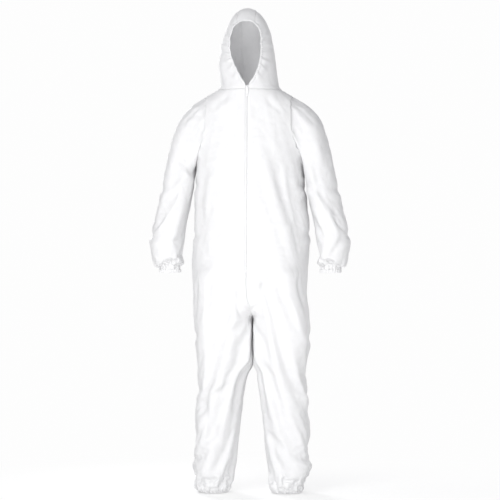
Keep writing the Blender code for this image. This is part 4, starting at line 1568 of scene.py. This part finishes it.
def nonwoven(name, dark, light):
    """Papery white nonwoven: cloudy fibres, a bonded grain, a soft sheen and light that shows through."""
    made = Surface(name, Specular_IOR_Level=0.35, Sheen_Weight=0.12, Sheen_Roughness=0.6)
    cloud = made.pattern("ShaderNodeTexNoise", Scale=38, Detail=7, Roughness=0.66)
    fibres = made.pattern("ShaderNodeTexNoise", Scale=420, Detail=4, Distortion=1.2)
    bonds = made.pattern("ShaderNodeTexVoronoi", Scale=480, Randomness=0.25)
    creases = made.pattern("ShaderNodeTexNoise", Scale=11, Detail=4, Roughness=0.45, Distortion=0.6)
    creases.node.noise_type = "RIDGED_MULTIFRACTAL"
    grain = made.bump(fibres, 0.25, 0.0004)
    emboss = made.bump(bonds, 0.2, 0.0002, grain)
    crinkled = made.bump(creases, 0.35, 0.0022, emboss)
    tone = made.ramp(cloud, ((0.30, dark), (0.70, light)))
    made.dressed(tone, made.spread(cloud, 0.55, 0.75), crinkled)
    through_cloth = made.node("ShaderNodeBsdfTranslucent", tone)
    return made.mixed(made.shader.outputs["BSDF"], through_cloth.outputs["BSDF"], SHOWS_THROUGH)


def knitted_elastic(name):
    """Cream ribbed elastic: fine rows across it, with rubber showing darker between them."""
    made = Surface(name, Sheen_Weight=0.2)
    rows = made.waves("X", Scale=260, Distortion=0.6)
    speck = made.pattern("ShaderNodeTexNoise", Scale=900, Detail=3)
    tone = made.ramp(rows, ((0.1, (0.66, 0.65, 0.62)), (0.6, (0.84, 0.83, 0.80))))
    ribs = made.bump(rows, 0.6, 0.0004)
    return made.dressed(tone, made.spread(speck, 0.65, 0.9), made.bump(speck, 0.3, 0.0002, ribs))


def woven_tape(name):
    """White polyester tape: a close herringbone weave."""
    made = Surface(name, Specular_IOR_Level=0.4)
    slant, across = (made.waves(direction, Scale=420, Distortion=0.8) for direction in ("DIAGONAL", "Z"))
    product = made.node("ShaderNodeMath", slant)
    product.operation = "MULTIPLY"
    made.join(across, product.inputs[1])
    weave = product.outputs[0]
    tone = made.ramp(weave, ((0.0, (0.85, 0.85, 0.86)), (0.7, (0.94, 0.94, 0.94))))
    return made.dressed(tone, made.spread(weave, 0.85, 0.6), made.bump(weave, 0.5, 0.0002))


def smooth_plastic(name, dark, light, rough_low, rough_high, scale):
    """Moulded or lacquered white: slight clouding, fine handling marks in its gloss."""
    made = Surface(name, Coat_Weight=0.15)
    cloud = made.pattern("ShaderNodeTexNoise", Scale=scale, Detail=5)
    marks = made.pattern("ShaderNodeTexNoise", Scale=scale * 6, Detail=3, Distortion=2.0)
    tone = made.ramp(cloud, ((0.35, dark), (0.65, light)))
    return made.dressed(tone, made.spread(marks, rough_low, rough_high), made.bump(marks, 0.15, 0.0001))


def pale_floor(name):
    """Pale matt grey round the object with a painted glow: an emission at the backdrop's brightness makes up
    0.45 of it near the object, which pales the suit's shadow there, rising to all of it further out, where it
    fades into the backdrop's white.
    """
    made = Surface(name, Base_Color=(0.92, 0.92, 0.92, 1), Roughness=0.8)
    far = made.node("ShaderNodeVectorMath", made.place)
    far.operation = "LENGTH"
    fade = made.node("ShaderNodeMapRange", far.outputs["Value"], To_Min=0.45)
    made.fill(fade, {"From_Min": FLOOR_FADE[0], "From_Max": FLOOR_FADE[1]})
    fade.interpolation_type = "SMOOTHSTEP"
    # painted glow: the floor emits the backdrop's brightness, partly even under the suit, where it pales the
    # cast shadow
    glow = made.node("ShaderNodeEmission", Color=(BACKDROP, BACKDROP, BACKDROP, 1))
    return made.mixed(made.shader.outputs["BSDF"], glow.outputs["Emission"], fade.outputs["Result"])


# ---------------------------------------------------------------- light, floor and camera

PICTURE_HEIGHT = 1.8116  # metres that the picture takes in, at the object
CAMERA_AZIMUTH = math.radians(5)
CAMERA_DISTANCE = 8.0
AIM_Z = 0.8696


def aim(thing, target):
    thing.rotation_mode = "QUATERNION"
    thing.rotation_quaternion = (Vector(target) - thing.location).to_track_quat("-Z", "Y")


def add_camera():
    camera = add_piece("camera", bpy.data.cameras.new("camera"))
    target = Vector((0, 0, AIM_Z + GROUND))
    away = Vector((math.sin(CAMERA_AZIMUTH), -math.cos(CAMERA_AZIMUTH), 0))
    camera.location = target + away * CAMERA_DISTANCE
    aim(camera, target)
    camera.data.lens = camera.data.sensor_width * CAMERA_DISTANCE / PICTURE_HEIGHT
    bpy.context.scene.camera = camera


def add_softbox(name, place, size, watts, target_z):
    light = bpy.data.lights.new(name, "AREA")
    light.shape = "DISK"
    light.size = size
    light.energy = watts
    lamp = add_piece(name, light)
    lamp.location = Vector((place[0], place[1], place[2] + GROUND))
    aim(lamp, (0, 0, target_z + GROUND))


BACKDROP = 0.985  # the backdrop's brightness in the picture
AMBIENT = 0.60  # how brightly it lights the object
FLOOR_GAP = 0.008
FLOOR_RADIUS = 4.0
FLOOR_FADE = (0.20, 1.4)  # radii between which the floor's painted glow rises to full and it fades into the backdrop


def add_world():
    """A bright white backdrop that lights the object less than it shows, as a distant studio wall does."""
    world = bpy.data.worlds.new("studio")
    world.use_nodes = True
    nodes, links = world.node_tree.nodes, world.node_tree.links
    seen = nodes["Background"]
    seen.inputs["Color"].default_value = (BACKDROP, BACKDROP, BACKDROP, 1)
    fill = nodes.new("ShaderNodeBackground")
    fill.inputs["Color"].default_value = (AMBIENT, AMBIENT, AMBIENT * 1.02, 1)
    ray = nodes.new("ShaderNodeLightPath")
    mix = nodes.new("ShaderNodeMixShader")
    links.new(ray.outputs["Is Camera Ray"], mix.inputs["Fac"])
    links.new(fill.outputs["Background"], mix.inputs[1])
    links.new(seen.outputs["Background"], mix.inputs[2])
    links.new(mix.outputs["Shader"], nodes["World Output"].inputs["Surface"])
    bpy.context.scene.world = world
    bpy.context.scene.view_settings.view_transform = "Standard"


def add_floor():
    """A pale disc with a painted glow that fades it into the backdrop, just below the hems."""
    bm = bmesh.new()
    bmesh.ops.create_circle(bm, cap_ends=True, radius=FLOOR_RADIUS, segments=128)
    floor = add_piece("floor", mesh_from(bm, "floor"))
    floor.location.z = GROUND - FLOOR_GAP
    floor.data.materials.append(pale_floor("pale_floor"))


def add_lights():
    add_softbox("key", (-0.80, -2.10, 2.40), 1.2, 22, 0.95)
    add_softbox("front", (0.00, -1.90, 0.55), 1.4, 22, 0.60)
    add_softbox("back_left", (-1.30, 2.70, 1.90), 1.0, 50, 0.95)
    add_softbox("back_right", (1.60, 2.50, 1.00), 1.2, 14, 0.95)


# ---------------------------------------------------------------- assembling


def blend_leg(piece):
    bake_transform(piece)


def blend_sleeve(piece):
    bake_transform(piece)


def blend_hood(piece):
    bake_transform(piece)


def finish_piece(piece, materials, body=None, stands_for=()):
    for material in materials:
        piece.data.materials.append(material)
    if body:
        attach(piece, body)
    if stands_for:
        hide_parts(*stands_for)


def make_garment(cloth, thread, elastic):
    """The cloth pieces with their hems and the waist elastic; the gusset, the waist elastic and the cuff and
    ankle hems are joined to the bodies that move them.
    """
    panels, tree = make_panels()
    for name, panel in panels.items():
        side = name.rpartition("_")[2]
        nodes = {
            "front": (f"body_front_{side}", f"leg_front_{side}"),
            "back": (f"body_back_{side}", f"leg_back_{side}"),
            "sleeve": (f"sleeve_front_{side}", f"sleeve_back_{side}"),
            "hood": (f"hood_side_{side}",),
            "crown": ("hood_crown_strip",),
            "gusset": ("crotch_gusset",),
        }[name.partition("_")[0]]
        finish_piece(panel, (cloth, thread), stands_for=nodes)
    hem = face_hem(tree)
    finish_piece(hem, (cloth,), stands_for=("face_elastic",))
    band = waist_band(tree)
    finish_piece(band, (elastic,), body="torso", stands_for=("waist_elastic",))
    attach(panels["gusset"], "torso")
    for piece in (hem, panels["crown"], panels["hood_left"], panels["hood_right"]):
        blend_hood(piece)
    for number, (name, side) in enumerate(SIDES):
        cuff = ring_hem(f"cuff_hem_{name}", side, CUFF, 0.0, CUFF_Z - 0.007, CUFF_Z + 0.005, 26, 311 + number)
        finish_piece(cuff, (cloth,), f"sleeve_{name}", (f"cuff_elastic_{name}",))
        ankle = ring_hem(f"ankle_hem_{name}", side, ANKLE, ANKLE_Y, -0.005, 0.008, 36, 321 + number)
        finish_piece(ankle, (cloth,), f"leg_{name}", (f"ankle_elastic_{name}",))
        front, back = panels[f"front_{name}"], panels[f"back_{name}"]
        sleeve, hood = panels[f"sleeve_{name}"], panels[f"hood_{name}"]
        blend_leg(front)
        blend_leg(back)
        blend_sleeve(sleeve)


def make_zip(tape, coil, lacquer):
    for name, side in SIDES:
        made = zip_tape(f"zip_ribbed_tape_{name}", side)
        finish_piece(made, (tape,), "torso", (f"zip_tape_{name}",))
        made = zip_coil(f"zip_chain_{name}", side)
        finish_piece(made, (coil,), "torso", (f"zip_coil_{name}",))
        made = hardware(f"zip_end_stop_{name}", build_top_stop(side), 0.0003)
        finish_piece(made, (lacquer,), "torso", (f"zip_top_stop_{name}",))
    made = hardware("zip_foot_stop", build_bottom_stop, 0.0004)
    finish_piece(made, (lacquer,), "torso", ("zip_bottom_stop",))
    made = hardware("zip_slider_body", build_slider, 0.0003)
    finish_piece(made, (lacquer,), "zip_slider", ("zip_slider",))
    made = pull_tab("zip_pull_tab")
    finish_piece(made, (lacquer,), "zip_pull", ("zip_pull",))


make_garment(
    nonwoven("nonwoven_white", (0.840, 0.840, 0.845), (0.875, 0.875, 0.880)),
    smooth_plastic("sewing_thread", (0.80, 0.80, 0.81), (0.90, 0.90, 0.90), 0.5, 0.7, 900),
    knitted_elastic("knitted_elastic"),
)
make_zip(
    woven_tape("woven_tape"),
    smooth_plastic("nylon_coil", (0.91, 0.91, 0.92), (0.96, 0.96, 0.96), 0.30, 0.45, 500),
    smooth_plastic("white_lacquer", (0.80, 0.80, 0.81), (0.86, 0.86, 0.87), 0.25, 0.40, 300),
)
add_camera()
add_world()
add_floor()
add_lights()
